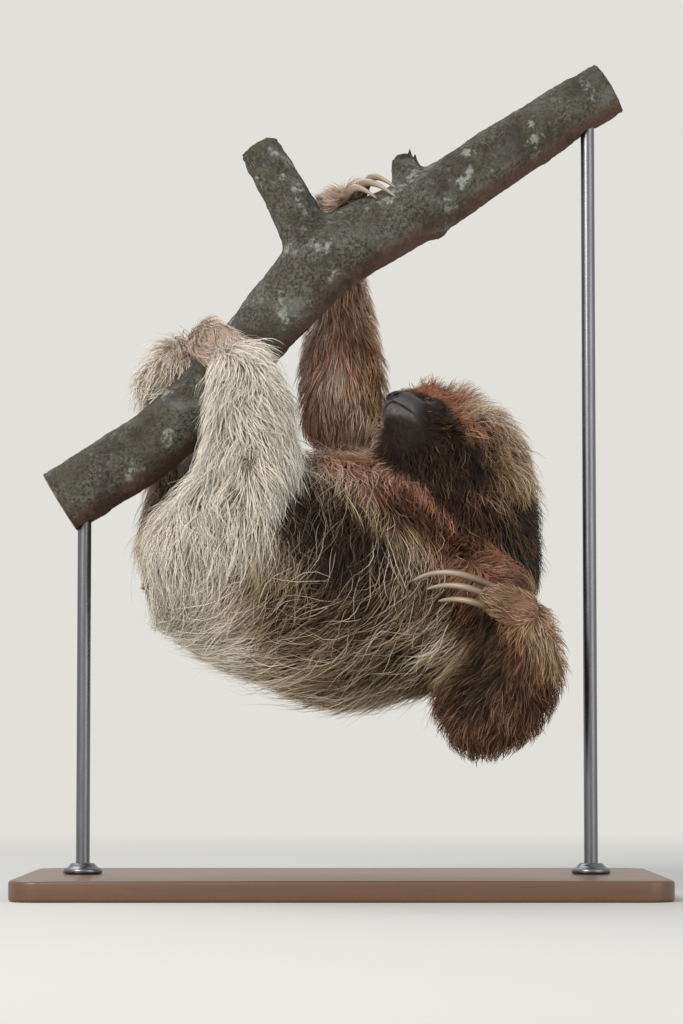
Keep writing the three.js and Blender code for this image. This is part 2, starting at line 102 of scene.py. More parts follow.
class Finish:
    """A node material that is built up by expressions."""

    def __init__(self, name, **constants):
        self.material = bpy.data.materials.new(name)
        self.material.use_nodes = True
        self.tree = self.material.node_tree
        self.shader = self.tree.nodes["Principled BSDF"]
        for socket, value in constants.items():
            self.shader.inputs[socket.replace("_", " ")].default_value = value

    def node(self, kind, settings=None, values=(), output=0):
        """Adds one node: its settings first, then its sockets by number, name or identifier."""
        made = self.tree.nodes.new(kind)
        for key, value in (settings or {}).items():
            setattr(made, key, value)
        named = values.items() if isinstance(values, dict) else enumerate(values)
        for key, value in named:
            found = [s for s in made.inputs if s.identifier == key]
            self.feed(found[0] if found else made.inputs[key], value)
        sockets = [s for s in made.outputs if s.identifier == output]
        return Wire(self, sockets[0] if sockets else made.outputs[output])

    def feed(self, socket, value):
        if isinstance(value, Wire):
            self.tree.links.new(value.socket, socket)
        else:
            socket.default_value = value

    def field(self, name):
        """A number that the mesh carries at its points."""
        return self.node("ShaderNodeAttribute", {"attribute_name": name}, output="Fac")

    def place(self):
        """The point's own place in the row frame, in metres."""
        return self.node("ShaderNodeTexCoord", output="Object")

    def cloud(self, scale, detail=2.0, rough=0.5, stretch=(1, 1, 1), place=None):
        """A soft noise from 0 to 1, stretched along an axis where its share is under 1."""
        where = self.node("ShaderNodeMapping", {}, {"Vector": place or self.place(), "Scale": stretch})
        values = {"Vector": where, "Scale": scale, "Detail": detail, "Roughness": rough}
        return self.node("ShaderNodeTexNoise", {}, values)

    def cells(self, scale):
        """Small cells: 0 at each one's middle, rising to its rim."""
        return self.node("ShaderNodeTexVoronoi", {}, {"Vector": self.place(), "Scale": scale})

    def ramp(self, value, low, high):
        """0 below low, 1 above high, and smooth between them."""
        values = {"Value": value, "From Min": low, "From Max": high}
        return self.node("ShaderNodeMapRange", {"interpolation_type": "SMOOTHSTEP"}, values)

    def mix(self, share, first, second, blend="MIX"):
        settings = {"data_type": "RGBA", "blend_type": blend, "clamp_factor": True}
        values = {"Factor_Float": share, "A_Color": first, "B_Color": second}
        return self.node("ShaderNodeMix", settings, values, output="Result_Color")

    def colour(self, value):
        self.feed(self.shader.inputs["Base Color"], value)
        return self

    def roughness(self, value):
        self.feed(self.shader.inputs["Roughness"], value)
        return self

    def relief(self, height, depth, strength=1.0):
        """Small height, in shares of depth (metres), as a bump on the surface."""
        values = {"Height": height, "Distance": depth, "Strength": strength}
        self.feed(self.shader.inputs["Normal"], self.node("ShaderNodeBump", {}, values))
        return self

# %% [markdown]
# ## Camera, floor and lamps
# The view is a long lens from a little below, as somebody under a tree sees a sloth. The camera stands
# three metres away, so the perspective is flat, and looks up by four degrees. The floor is one pale disc
# that fades with distance into the pale tone of the world, so that no horizon draws the eye. Only
# straight looks see that tone: the light that the world gives is dimmer and even, and the floor keeps the
# shadow.

# %% Camera and studio
VIEW_DISTANCE = 3.0
VIEW_TILT = math.radians(4)
AIM = Vector((0, 0, 0.335))
SENSOR = 36.0                 # mm, along the tall side of the frame
TALL_SIDE = 0.9011            # metres of the object's plane that fill the frame's height
BACKDROP = paint(226, 224, 219)
EVEN_LIGHT = paint(222, 228, 236)
EVEN_STRENGTH = 0.6           # what the world lights the animal with; straight looks see full strength

camera = bpy.data.objects.new("camera", bpy.data.cameras.new("camera"))
bpy.context.scene.collection.objects.link(camera)
camera.location = AIM - VIEW_DISTANCE * Vector((0, math.cos(VIEW_TILT), math.sin(VIEW_TILT)))
camera.rotation_euler = (AIM - camera.location).to_track_quat("-Z", "Y").to_euler()
camera.data.sensor_width = SENSOR
camera.data.lens = SENSOR * VIEW_DISTANCE / TALL_SIDE
bpy.context.scene.camera = camera
bpy.context.scene.view_settings.view_transform = "Standard"


def softbox(name, place, power, size, tint=(1.0, 1.0, 1.0)):
    """A square lamp, size metres wide, that points at the animal."""
    lamp = bpy.data.lights.new(name, "AREA")
    lamp.energy, lamp.size, lamp.color = power, size, tint
    stand = bpy.data.objects.new(name, lamp)
    bpy.context.scene.collection.objects.link(stand)
    stand.location = place
    stand.rotation_euler = (AIM - Vector(place)).to_track_quat("-Z", "Y").to_euler()


softbox("key_lamp", (-1.5, -2.3, 1.6), 68, 1.2, tint=(1.0, 0.98, 0.94))
softbox("fill_lamp", (1.9, -1.8, 0.8), 20, 1.8)
softbox("back_lamp", (-0.9, 1.1, 2.3), 20, 1.2)

world = bpy.data.worlds.new("studio")
bpy.context.scene.world = world
world.use_nodes = True
sky = world.node_tree
sky.nodes.clear()
either = sky.nodes.new("ShaderNodeMixShader")
rays = sky.nodes.new("ShaderNodeLightPath")
seen = rays.outputs["Is Camera Ray"]
for kind in ("Is Glossy Ray", "Is Transmission Ray"):
    sum_of_rays = sky.nodes.new("ShaderNodeMath")
    sum_of_rays.operation, sum_of_rays.use_clamp = "ADD", True
    sky.links.new(seen, sum_of_rays.inputs[0])
    sky.links.new(rays.outputs[kind], sum_of_rays.inputs[1])
    seen = sum_of_rays.outputs[0]
sky.links.new(seen, either.inputs["Fac"])
for place, (tone, strength) in enumerate(((EVEN_LIGHT, EVEN_STRENGTH), (BACKDROP, 1.0)), 1):
    glow = sky.nodes.new("ShaderNodeBackground")
    glow.inputs["Color"].default_value = tone
    glow.inputs["Strength"].default_value = strength
    sky.links.new(glow.outputs[0], either.inputs[place])
sky.links.new(either.outputs[0], sky.nodes.new("ShaderNodeOutputWorld").inputs["Surface"])

FLOOR_REACH, FLOOR_SIDES = 14.0, 96
HAZE_FROM, HAZE_TO = 0.35, 2.4        # metres from the stand's middle
floor_mesh = bpy.data.meshes.new("floor")
turns = [2 * math.pi * k / FLOOR_SIDES for k in range(FLOOR_SIDES)]
rim = [(FLOOR_REACH * math.cos(turn), FLOOR_REACH * math.sin(turn), 0) for turn in turns]
floor_mesh.from_pydata(rim, [], [range(FLOOR_SIDES)])
floor = bpy.data.objects.new("floor", floor_mesh)
bpy.context.scene.collection.objects.link(floor)
floor_paint = Finish("floor_paint", Roughness=0.9)
floor_paint.colour(floor_paint.mix(floor_paint.cloud(1.5), paint(209, 207, 202), paint(213, 211, 206)))
from_stand = floor_paint.node("ShaderNodeVectorMath", {"operation": "LENGTH"}, [floor_paint.place()],
                              output="Value")
straight = floor_paint.node("ShaderNodeLightPath", output="Is Camera Ray")
for kind in ("Is Glossy Ray", "Is Transmission Ray"):
    straight = straight + floor_paint.node("ShaderNodeLightPath", output=kind)
haze = floor_paint.node("ShaderNodeEmission", {}, {"Color": BACKDROP}, output="Emission")
lit_floor = Wire(floor_paint, floor_paint.shader.outputs["BSDF"])
share_of_haze = straight.held() * floor_paint.ramp(from_stand, HAZE_FROM, HAZE_TO)
blended = floor_paint.node("ShaderNodeMixShader", {}, (share_of_haze, lit_floor, haze))
floor_paint.feed(floor_paint.tree.nodes["Material Output"].inputs["Surface"], blended)
floor_mesh.materials.append(floor_paint.material)
print("camera at", [round(x, 3) for x in camera.location], "lens", round(camera.data.lens, 1))

# %% [markdown]
# ## Helpers for meshes
# Locks of hair come by the ten thousand, so meshes are made from NumPy arrays and not vertex by vertex. A
# mesh may carry numbers at its points, which the finishes read as fields: how dark, how red, how near the
# tip.

# %% Mesh helpers
def piece_of(name, points, loops, starts, slot, finish, replaced=(), fields=None, patches=None):
    """A piece from arrays. loops are the corners' point numbers, starts each face's first corner."""
    mesh = bpy.data.meshes.new(name)
    mesh.vertices.add(len(points))
    mesh.vertices.foreach_set("co", np.asarray(points, np.float32).ravel())
    mesh.loops.add(len(loops))
    mesh.loops.foreach_set("vertex_index", np.asarray(loops, np.int32))
    mesh.polygons.add(len(starts))
    mesh.polygons.foreach_set("loop_start", np.asarray(starts, np.int32))
    mesh.update(calc_edges=True)
    mesh.polygons.foreach_set("use_smooth", np.ones(len(starts), bool))
    for key, values in (fields or {}).items():
        mesh.attributes.new(key, "FLOAT", "POINT").data.foreach_set("value", np.asarray(values, np.float32))
    if patches is not None:
        mesh.uv_layers.new(name="OFBake").data.foreach_set("uv", np.asarray(patches, np.float32).ravel())
    mesh.materials.append(finish.material)
    made = bpy.data.objects.new(name, mesh)
    bpy.context.scene.collection.objects.link(made)
    if replaced:
        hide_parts(*replaced)
    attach(made, "root")
    return made


def arrays_of(mesh):
    """A mesh's points, corners and face starts, as piece_of takes them."""
    points = np.empty(len(mesh.vertices) * 3, np.float32)
    mesh.vertices.foreach_get("co", points)
    loops = np.empty(len(mesh.loops), np.int32)
    mesh.loops.foreach_get("vertex_index", loops)
    starts = np.empty(len(mesh.polygons), np.int32)
    mesh.polygons.foreach_get("loop_start", starts)
    return points.reshape(-1, 3).astype(float), loops, starts


def kneaded(names, swell, voxel):
    """The points and quads of one body of even small faces, pressed over the nodes like clay."""
    dough = bmesh.new()
    for name in names:
        dough.from_mesh(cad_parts[name].data)
    bmesh.ops.remove_doubles(dough, verts=dough.verts, dist=1e-6)
    dough.normal_update()
    for vertex in dough.verts:
        vertex.co += vertex.normal * swell
    mesh = bpy.data.meshes.new("dough")
    dough.to_mesh(mesh)
    dough.free()
    body = bpy.data.objects.new("dough", mesh)
    bpy.context.scene.collection.objects.link(body)
    press = body.modifiers.new("press", "REMESH")
    press.mode, press.voxel_size = "VOXEL", voxel
    pressed = body.evaluated_get(bpy.context.evaluated_depsgraph_get())
    points, loops, _ = arrays_of(pressed.data)
    bpy.data.objects.remove(body)
    return points, loops.reshape(-1, 4)


def edges_of(faces):
    """Each pair of neighbouring points, once."""
    sides = np.concatenate([faces[:, [k, (k + 1) % faces.shape[1]]] for k in range(faces.shape[1])])
    return np.unique(np.sort(sides, axis=1), axis=0)


def relaxed(values, edges, rounds, pull=0.5):
    """Values at the points, each drawn towards the average of its neighbours again and again."""
    values = np.array(values, float)
    flat = values.reshape(len(values), -1)
    near, far = edges.T
    count = np.maximum(np.bincount(edges.ravel(), minlength=len(flat)), 1)
    for _ in range(rounds):
        for k in range(flat.shape[1]):
            column = flat[:, k]
            around = np.bincount(near, column[far], len(flat)) + np.bincount(far, column[near], len(flat))
            flat[:, k] = column + pull * (around / count - column)
    return flat.reshape(values.shape)


def normals_of(points, faces):
    """Unit normals at the points, from the faces round them."""
    a, b, c = points[faces[:, 0]], points[faces[:, 1]], points[faces[:, 2]]
    across = np.cross(b - a, c - a)
    total = np.stack([
        sum(np.bincount(faces[:, k], across[:, axis], len(points)) for k in range(faces.shape[1]))
        for axis in range(3)
    ], 1)
    return total / np.maximum(np.linalg.norm(total, axis=1, keepdims=True), 1e-12)


def eased(value, low, high):
    """0 below low, 1 above high, smooth between."""
    share = np.clip((value - low) / (high - low), 0, 1)
    return share * share * (3 - 2 * share)


def unit(vectors):
    return vectors / np.maximum(np.linalg.norm(vectors, axis=-1, keepdims=True), 1e-12)


def ringed(rings, ends=None, flip=False):
    """A closed skin over rings of equal point counts, with a fan from each end ring to its middle or end."""
    rings = np.asarray(rings)
    count, sides = rings.shape[:2]
    if ends is None:
        ends = rings[0].mean(0), rings[-1].mean(0)
    body = np.vstack([rings.reshape(-1, 3), *ends])
    order = -1 if flip else 1
    corner, start = [], []
    for k in range(count - 1):
        for s in range(sides):
            a, b = k * sides + s, k * sides + (s + 1) % sides
            start.append(len(corner))
            corner += [a, b, b + sides, a + sides][::order]
    last = (count - 1) * sides
    for s in range(sides):
        t = (s + 1) % sides
        start += [len(corner), len(corner) + 3]
        corner += [t, s, len(body) - 2][::order] + [last + s, last + t, len(body) - 1][::order]
    return body, corner, start

# %% [markdown]
# ## What the coat is like on each part
# A sloth's coat is two coats: short, dense, dark underfur, and long coarse hairs that stand off it. Each
# part gets the coat's depth (how far the skin lies under the solid), the length of its locks, and how
# red, how dark and how pale they are. These are the same numbers for the skin and for the hair, so both
# carry one marking.

# %% The coat's table
COAT = {
    # node: depth, length, rust, dark, pale
    "trunk": (17, 50, 0.16, 0.24, 0.15),
    "tail": (8, 28, 0.15, 0.05, 0.70),
    "neck": (11, 34, 0.34, 0.12, 0.22),
    "head": (9, 22, 0.40, 0.25, 0.30),
    "nose": (0.6, 4, 0.00, 0.90, 0.00),
    "lower_jaw": (1.6, 5, 0.10, 0.95, 0.00),
    "left_upper_arm": (9, 24, 0.60, 0.56, 0.00),
    "left_forearm": (8, 23, 0.60, 0.46, 0.10),
    "left_hand": (3.6, 13, 0.45, 0.34, 0.16),
    "right_upper_arm": (13, 36, 0.72, 0.00, 0.80),
    "right_forearm": (9, 28, 0.62, 0.08, 0.34),
    "right_hand": (4.5, 20, 0.45, 0.12, 0.55),
    "left_thigh": (16, 54, 0.06, 0.05, 0.85),
    "left_shank": (13, 44, 0.08, 0.02, 0.92),
    "left_foot": (6, 22, 0.42, 0.02, 0.72),
    "right_thigh": (14, 50, 0.10, 0.10, 0.75),
    "right_shank": (9, 42, 0.12, 0.06, 0.80),
    "right_foot": (4, 34, 0.20, 0.03, 0.80),
}
FIELDS = ("depth", "length", "rust", "dark", "pale")
DEPTH, LENGTH, RUST, DARK, PALE = range(len(FIELDS))
FLESH = list(COAT)
flesh_points, flesh_faces, flesh_owner = [], [], []
for number, name in enumerate(FLESH):
    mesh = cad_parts[name].data
    offset = len(flesh_points)
    flesh_points += [tuple(v.co) for v in mesh.vertices]
    for polygon in mesh.polygons:
        flesh_faces.append([offset + k for k in polygon.vertices])
        flesh_owner.append(number)
flesh_tree = BVHTree.FromPolygons(flesh_points, flesh_faces)
flesh_owner = np.array(flesh_owner)


def owner_of(points):
    """Which flesh node each point belongs to, as a number in FLESH."""
    return flesh_owner[[flesh_tree.find_nearest(p)[2] for p in points.tolist()]]


def belongs(owner, *names):
    """True where the owner is one of the named nodes."""
    return np.isin(owner, [FLESH.index(name) for name in names])

# %% [markdown]
# ## The head's own frame
# The face is easiest to shape in axes that belong to the head: x forward to the nose, y to the animal's
# left, z up to the crown. They are the same axes as those of the head's solid.

# %% Head axes
HEAD_CENTRE = np.array((71, -2, 407)) * MM
yaw, pitch, roll = (math.radians(turn) for turn in (48, 40, 10))
forward = Vector((-math.cos(pitch) * math.cos(yaw), -math.cos(pitch) * math.sin(yaw), math.sin(pitch)))
leftward = Matrix.Rotation(roll, 3, forward) @ Vector((0, 0, 1)).cross(forward).normalized()
head_axes = np.array([forward, leftward, forward.cross(leftward)])


def in_head(points):
    """Places in the head's axes, in millimetres."""
    return (points - HEAD_CENTRE) @ head_axes.T / MM


eye_centres = {side: np.array(sum(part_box(f"{side}_eye"), Vector())) / 2 for side in ("left", "right")}
EYE_RADIUS = 6.1
LOOK = unit(np.array((23, 19, 7.0)))       # where the left eye looks

# %% [markdown]
# ## One skin
# The flesh is many solids that meet face to face, but the animal has one skin. It could be modelled by
# hand over the solids; it is quicker and closer to them to swell each solid by a hair's breadth so that
# they overlap, press them into one body with a voxel remesh, smooth the facets away, and then sink the
# surface by the coat's depth. The bare mask of the face has no coat to make room for, so there the skin
# stays where the solid is.

# %% Knead the flesh together and sink it under the coat
SWELL = 0.8 * MM
CLAY = 3.2 * MM
SMOOTHINGS, FIELD_BLUR = 6, 26           # rounds of smoothing over the skin, and over the table's steps
SINK_STEPS = 10
FACE_DEPTH, BROW_DEPTH = 0.7, 2.6        # millimetres of coat on the mask and the brow
points, quads = kneaded(FLESH, SWELL, CLAY)


def largest_shell(points, faces):
    """Leaves out bubbles that the kneading closed in: keeps the points joined to the biggest shell."""
    mark = np.arange(len(points))
    edges = edges_of(faces)
    while True:
        low = np.minimum(mark[edges[:, 0]], mark[edges[:, 1]])
        before = mark.copy()
        np.minimum.at(mark, edges[:, 0], low)
        np.minimum.at(mark, edges[:, 1], low)
        mark = mark[mark]
        if (mark == before).all():
            break
    biggest = np.bincount(mark).argmax()
    keep = mark == biggest
    renumber = np.cumsum(keep) - 1
    return points[keep], renumber[faces[keep[faces].all(1)]]


points, quads = largest_shell(points, quads)
edges = edges_of(quads)
points = relaxed(points, edges, SMOOTHINGS)
fields = np.array([COAT[name] for name in FLESH])[owner_of(points)]
fields = relaxed(fields, edges, FIELD_BLUR)
places = in_head(points)
x, y, z = places.T
mask = eased(x, 12, 24) * eased(z, -34, -22) * (1 - eased(np.abs(y), 20, 30))
mask *= 1 - eased(z, 8, 18) * (1 - eased(x, 28, 36))
for centre in eye_centres.values():
    mask = np.maximum(mask, 1 - eased(np.linalg.norm(places - in_head(centre), axis=1), 11, 20))
mask = relaxed(mask, edges, 3)
brow = eased(x, 0, 16) * eased(z, 0, 10) * (1 - eased(np.abs(y), 20, 32))
fields[:, DEPTH] += (BROW_DEPTH - fields[:, DEPTH]) * brow
fields[:, DEPTH] += (FACE_DEPTH - fields[:, DEPTH]) * mask
sink = (fields[:, DEPTH] * MM + SWELL) / SINK_STEPS
for _ in range(SINK_STEPS):
    points = points - normals_of(points, quads) * sink[:, None]
    points = relaxed(points, edges, 1, 0.35)
print("skin:", len(points), "points")

# %% [markdown]
# ## A finer face
# Faces three millimetres wide are fine enough under a coat, but not for lids and lips. The faces of the
# head's front are therefore divided, and divided again near the eyes, the nostrils and the mouth.

# %% Divide the faces of the face
def mouth_height(y):
    """The height of the mouth line, which peaks at the front and falls to the corners."""
    return -10.6 - 5.6 * (np.hypot(y, 1.2) / 18) ** 0.85


def face_front(reach_back, middle, reach):
    """Picks the front of the head: a ball round the middle, cut off at reach_back."""
    return lambda p: (p[:, 0] > reach_back) & (np.linalg.norm(p - middle, axis=1) < reach)


def near_feature(places):
    """Where the face needs the finest faces: round the eyes, the nostrils and the mouth."""
    close = (np.abs(places[:, 2] - mouth_height(places[:, 1])) < 4.5) & (places[:, 0] > 20)
    close &= np.abs(places[:, 1]) < 21
    close |= (np.linalg.norm(places - (49, 0, -2), axis=1) < 11)
    for centre in eye_centres.values():
        close |= np.linalg.norm(places - in_head(centre), axis=1) < 12.5
    return close


sheet = bpy.data.meshes.new("sheet")
sheet.from_pydata(points.tolist(), [], quads.tolist())
for k, key in enumerate(FIELDS):
    sheet.attributes.new(key, "FLOAT", "POINT").data.foreach_set("value", fields[:, k].astype(np.float32))
clay = bmesh.new()
clay.from_mesh(sheet)
for chosen in (face_front(2, (24, 0, -4), 42), face_front(6, (26, 0, -4), 38), near_feature):
    inside = chosen(in_head(np.array([v.co for v in clay.verts])))
    clay.verts.index_update()
    picked = [e for e in clay.edges if inside[e.verts[0].index] and inside[e.verts[1].index]]
    bmesh.ops.subdivide_edges(clay, edges=picked, cuts=1, use_grid_fill=True)
bmesh.ops.triangulate(clay, faces=clay.faces)
clay.to_mesh(sheet)
clay.free()
points, loops, _ = arrays_of(sheet)
faces = loops.reshape(-1, 3)
fields = np.empty((len(points), len(FIELDS)))
for k, key in enumerate(FIELDS):
    column = np.empty(len(points), np.float32)
    sheet.attributes[key].data.foreach_get("value", column)
    fields[:, k] = column
edges = edges_of(faces)
places = in_head(points)
on_face = eased(places[:, 0], 0, 8) * (1 - eased(np.linalg.norm(places - (26, 0, -4), axis=1), 36, 46))
FACE_SMOOTHINGS = 40
points = points + (relaxed(points, edges, FACE_SMOOTHINGS) - points) * on_face[:, None]
print("skin with the finer face:", len(points), "points,", len(faces), "faces")

# %% [markdown]
# ## The face
# A three-toed sloth has a short blunt muzzle with a bare nose pad, a wide thin mouth that seems to smile,
# and small round eyes in dark lids. Each of these is a push along the skin's own normals, as a thumb
# would make it in clay: a groove for the mouth with a lip on either side, two pits for the nostrils, and
# lids drawn over the eyes.

# %% Sculpt the muzzle
normals = normals_of(points, faces)
places = in_head(points)
x, y, z = places.T


def dab(centre, reach):
    """1 at a place on the head, fading over reach in each axis."""
    return np.exp(-(((places - centre) / reach) ** 2).sum(1))


def pair(centre, reach):
    """The same dab on the left and on the right."""
    return dab(centre, reach) + dab((centre[0], -centre[1], centre[2]), reach)


def crease(value, middle, width):
    """1 where the value is at its middle, fading over a width on either side."""
    return np.exp(-(((value - middle) / width) ** 2))


both = np.abs(y)
from_lips = z - mouth_height(y)
in_mouth = eased(x, 22, 27) * (1 - eased(both, 15, 19))
at_tip = eased(x, 40, 44)                                          # the front of the muzzle
push = np.zeros(len(points))
push += 0.55 * crease(np.abs(from_lips), 2.3, 1.3) * in_mouth      # two lips
push -= 1.7 * crease(from_lips, 0, 0.75) * in_mouth                # the line between them
push -= 0.9 * dab((27, 0, -18), (4, 99, 4)) * eased(both, 15, 18)  # its corners
pad = (1 - eased(np.hypot(y / 8.0, (z + 3.2) / 6.2), 0.86, 1.08)) * at_tip
push += 1.5 * pad                                                  # the nose pad
nostril_y, nostril_z = 3.5, -5.2
aside = both - nostril_y
nostril = np.hypot(aside / 2.1, (z - nostril_z - 0.25 * aside) / 1.6)
push += 0.5 * crease(nostril, 1.45, 0.4) * at_tip                  # the nostril's rim
push -= 3.4 * (1 - eased(nostril, 0.55, 1.15)) * at_tip            # and its pit
push -= 0.5 * crease(y, 0, 0.7) * (1 - eased(z, -6, -4)) * eased(z, -11, -9.5) * at_tip
push += 5.2 * dab((35, 0, 12), (12, 9, 8))                         # the bridge, high and straight
push += 1.3 * pair((20, 15, 18), (8, 7, 4))                        # brows
push += 0.8 * pair((20, 22, -3), (8, 6, 5))                        # cheeks under the eyes
push -= 0.7 * pair((33, 12, 3), (7, 4, 6))                         # hollows beside the bridge
for depth, back in ((0.45, 12.5), (0.35, 9.5), (0.3, 6.5)):        # folds behind the nose pad
    ring = np.hypot(x - 50 + back, (z - 4) * 0.7)
    push -= depth * crease(ring, 2, 0.8) * (1 - eased(both, 4, 9)) * eased(z, 0, 3)
points = points + normals * (push * MM)[:, None]

# %% [markdown]
# The lids are not pushed but wrapped. Every bit of skin in front of an eye is moved along the line from
# the eye's centre: to just over the eyeball where it is lid, and to just inside it where the eye is open.

# %% Wrap the lids
OPEN_WIDE, OPEN_HIGH = 40.0, 31.0      # degrees from the middle of the opening to its corner and its lid
LID_THICK, INSIDE_BALL = 0.6, 1.3      # how far the lid stands off the ball, and where skin hides in it
moist_and_shaded = np.zeros(len(points))
lid = np.zeros(len(points))
for side, sign in (("left", 1), ("right", -1)):
    centre = in_head(eye_centres[side])
    look = LOOK * (1, sign, 1)
    across = unit(np.cross((0, 0, 1.0), look))
    above = np.cross(look, across)
    arm = in_head(points) - centre
    reach = np.linalg.norm(arm, axis=1)
    ahead = arm @ look
    wide = np.degrees(np.arctan2(arm @ across, ahead)) / OPEN_WIDE
    high = np.degrees(np.arctan2(arm @ above, ahead)) / OPEN_HIGH
    out = np.sqrt(wide ** 2 + high ** 2 * (1 + 0.5 * np.clip(wide ** 2, 0, 1)))
    near = (reach < 14) & (ahead > 0)
    over = EYE_RADIUS + LID_THICK + 0.2 * crease(out, 1.25, 0.2)           # the lid's rim
    over -= 0.55 * crease(out, 1.95, 0.18)                                  # the fold round the lids
    over -= 0.35 * crease(out, 2.6, 0.2) * (high < 0)                       # and a second one below
    drawn = over + (np.maximum(reach, over) - over) * eased(out, 1.5, 3.4)
    drawn = np.where(out < 3.4, np.maximum(drawn, over * (1 - eased(out, 2.6, 3.4))), drawn)
    inside = 1 - eased(out, 0.9, 1.04)
    drawn = drawn + (EYE_RADIUS - INSIDE_BALL - drawn) * inside
    drawn = np.where(near, drawn, reach)
    points = points + ((arm / reach[:, None] * (drawn - reach)[:, None]) * MM) @ head_axes
    # The rim of the opening is marked here; the skin's finish paints it near black as shade between lid and
    # ball.
    moist_and_shaded = np.maximum(moist_and_shaded, np.where(near, crease(out, 1.0, 0.12), 0))
    lid = np.maximum(lid, np.where(near, 1 - eased(out, 1.35, 1.95), 0))
normals = normals_of(points, faces)
places = in_head(points)
x, y, z = places.T
print("face: mouth", round(float(in_mouth.sum())), "points, lids", int((lid > 0.5).sum()), "points")

# %% [markdown]
# ## Markings
# The face is bare and slate-dark at the muzzle and round the eyes. Behind it the hair is nearly black on
# the cheeks and throat, foxy on the forehead, red in a curl behind the eye, and straw over the crown and
# nape. The black of the throat runs down under the neck. On the body a red band lies along the edge of
# the chest, and the flank shows dark underfur where its long hair parts. The hollows beside the knee and
# under the near hand and the inner side of the near arm are darker still as painted shade. The lower flank
# is browner, and the place between the thighs browner and darker, partly as painted shade. The breast under
# the far arm is paler, partly as painted light, and the outer side of the far arm and the tan rims of the
# near forearm and its elbow are painted light. Each marking is a soft capsule: a line from one place to
# another with a reach round it.

# %% Paint the markings as fields
def along(where, start, end, reach):
    """1 on the line from start to end, fading out at reach."""
    start, end = np.array(start, float), np.array(end, float)
    line = end - start
    share = np.clip((where - start) @ line / (line @ line + 1e-9), 0, 1)
    distance = np.linalg.norm(where - start - share[:, None] * line, axis=1)
    return 1 - eased(distance, 0.5 * reach, reach)


# each mark: from, to, reach in millimetres, then rust, dark, pale
neck_marks = [                                                     # seen from the side: y is left out
    ((125, 0, 398), (130, 0, 362), 15, (0.45, 0.42, 0.05)),         # brown between throat and nape
    ((130, 0, 362), (142, 0, 330), 15, (0.40, 0.55, 0.05)),
    ((152, 0, 324), (166, 0, 296), 20, (0.20, 0.95, 0.00)),
    ((92, 0, 350), (112, 0, 366), 27, (0.20, 0.96, 0.00)),
    ((92, 0, 336), (146, 0, 302), 28, (0.60, 0.70, 0.00)),          # the dark underside
]
head_marks = [                                                     # in the head's axes, on both its sides
    ((-22, 0, 44), (-34, 50, 16), 32, (0.32, 0.10, 0.34)),          # back of the crown
    ((2, 0, 38), (-8, 30, 32), 18, (0.45, 0.20, 0.30)),             # crown
    ((30, 0, 12), (12, 13, 27), 15, (0.60, 0.42, 0.05)),            # forehead
    ((27, 0, 20), (15, 9, 31), 12, (0.95, 0.04, 0.30)),             # foxy tuft over the brow
    ((22, 17, 18), (6, 27, 24), 14, (1.00, 0.12, 0.10)),            # the red curl behind the eye
    ((6, 27, 24), (2, 42, 0), 17, (1.00, 0.05, 0.22)),
    ((2, 42, 0), (-6, 52, -15), 14, (1.00, 0.06, 0.25)),
    ((14, 25, -20), (-20, 47, -44), 25, (0.18, 0.98, 0.00)),        # cheek
    ((4, 30, -2), (-2, 40, -18), 13, (0.30, 0.90, 0.00)),
    ((22, 8, -34), (-20, 14, -60), 32, (0.18, 1.00, 0.00)),         # throat
    ((24, 0, -4), (34, 0, -8), 30, (0.10, 0.92, 0.00)),             # the whole front of the face
    ((21, 15, 6), (11, 25, 8), 12, (0.12, 0.96, 0.00)),             # round the eye
    ((40, 0, 8), (32, 0, 14), 13, (0.55, 0.55, 0.02)),              # bridge of the nose
]
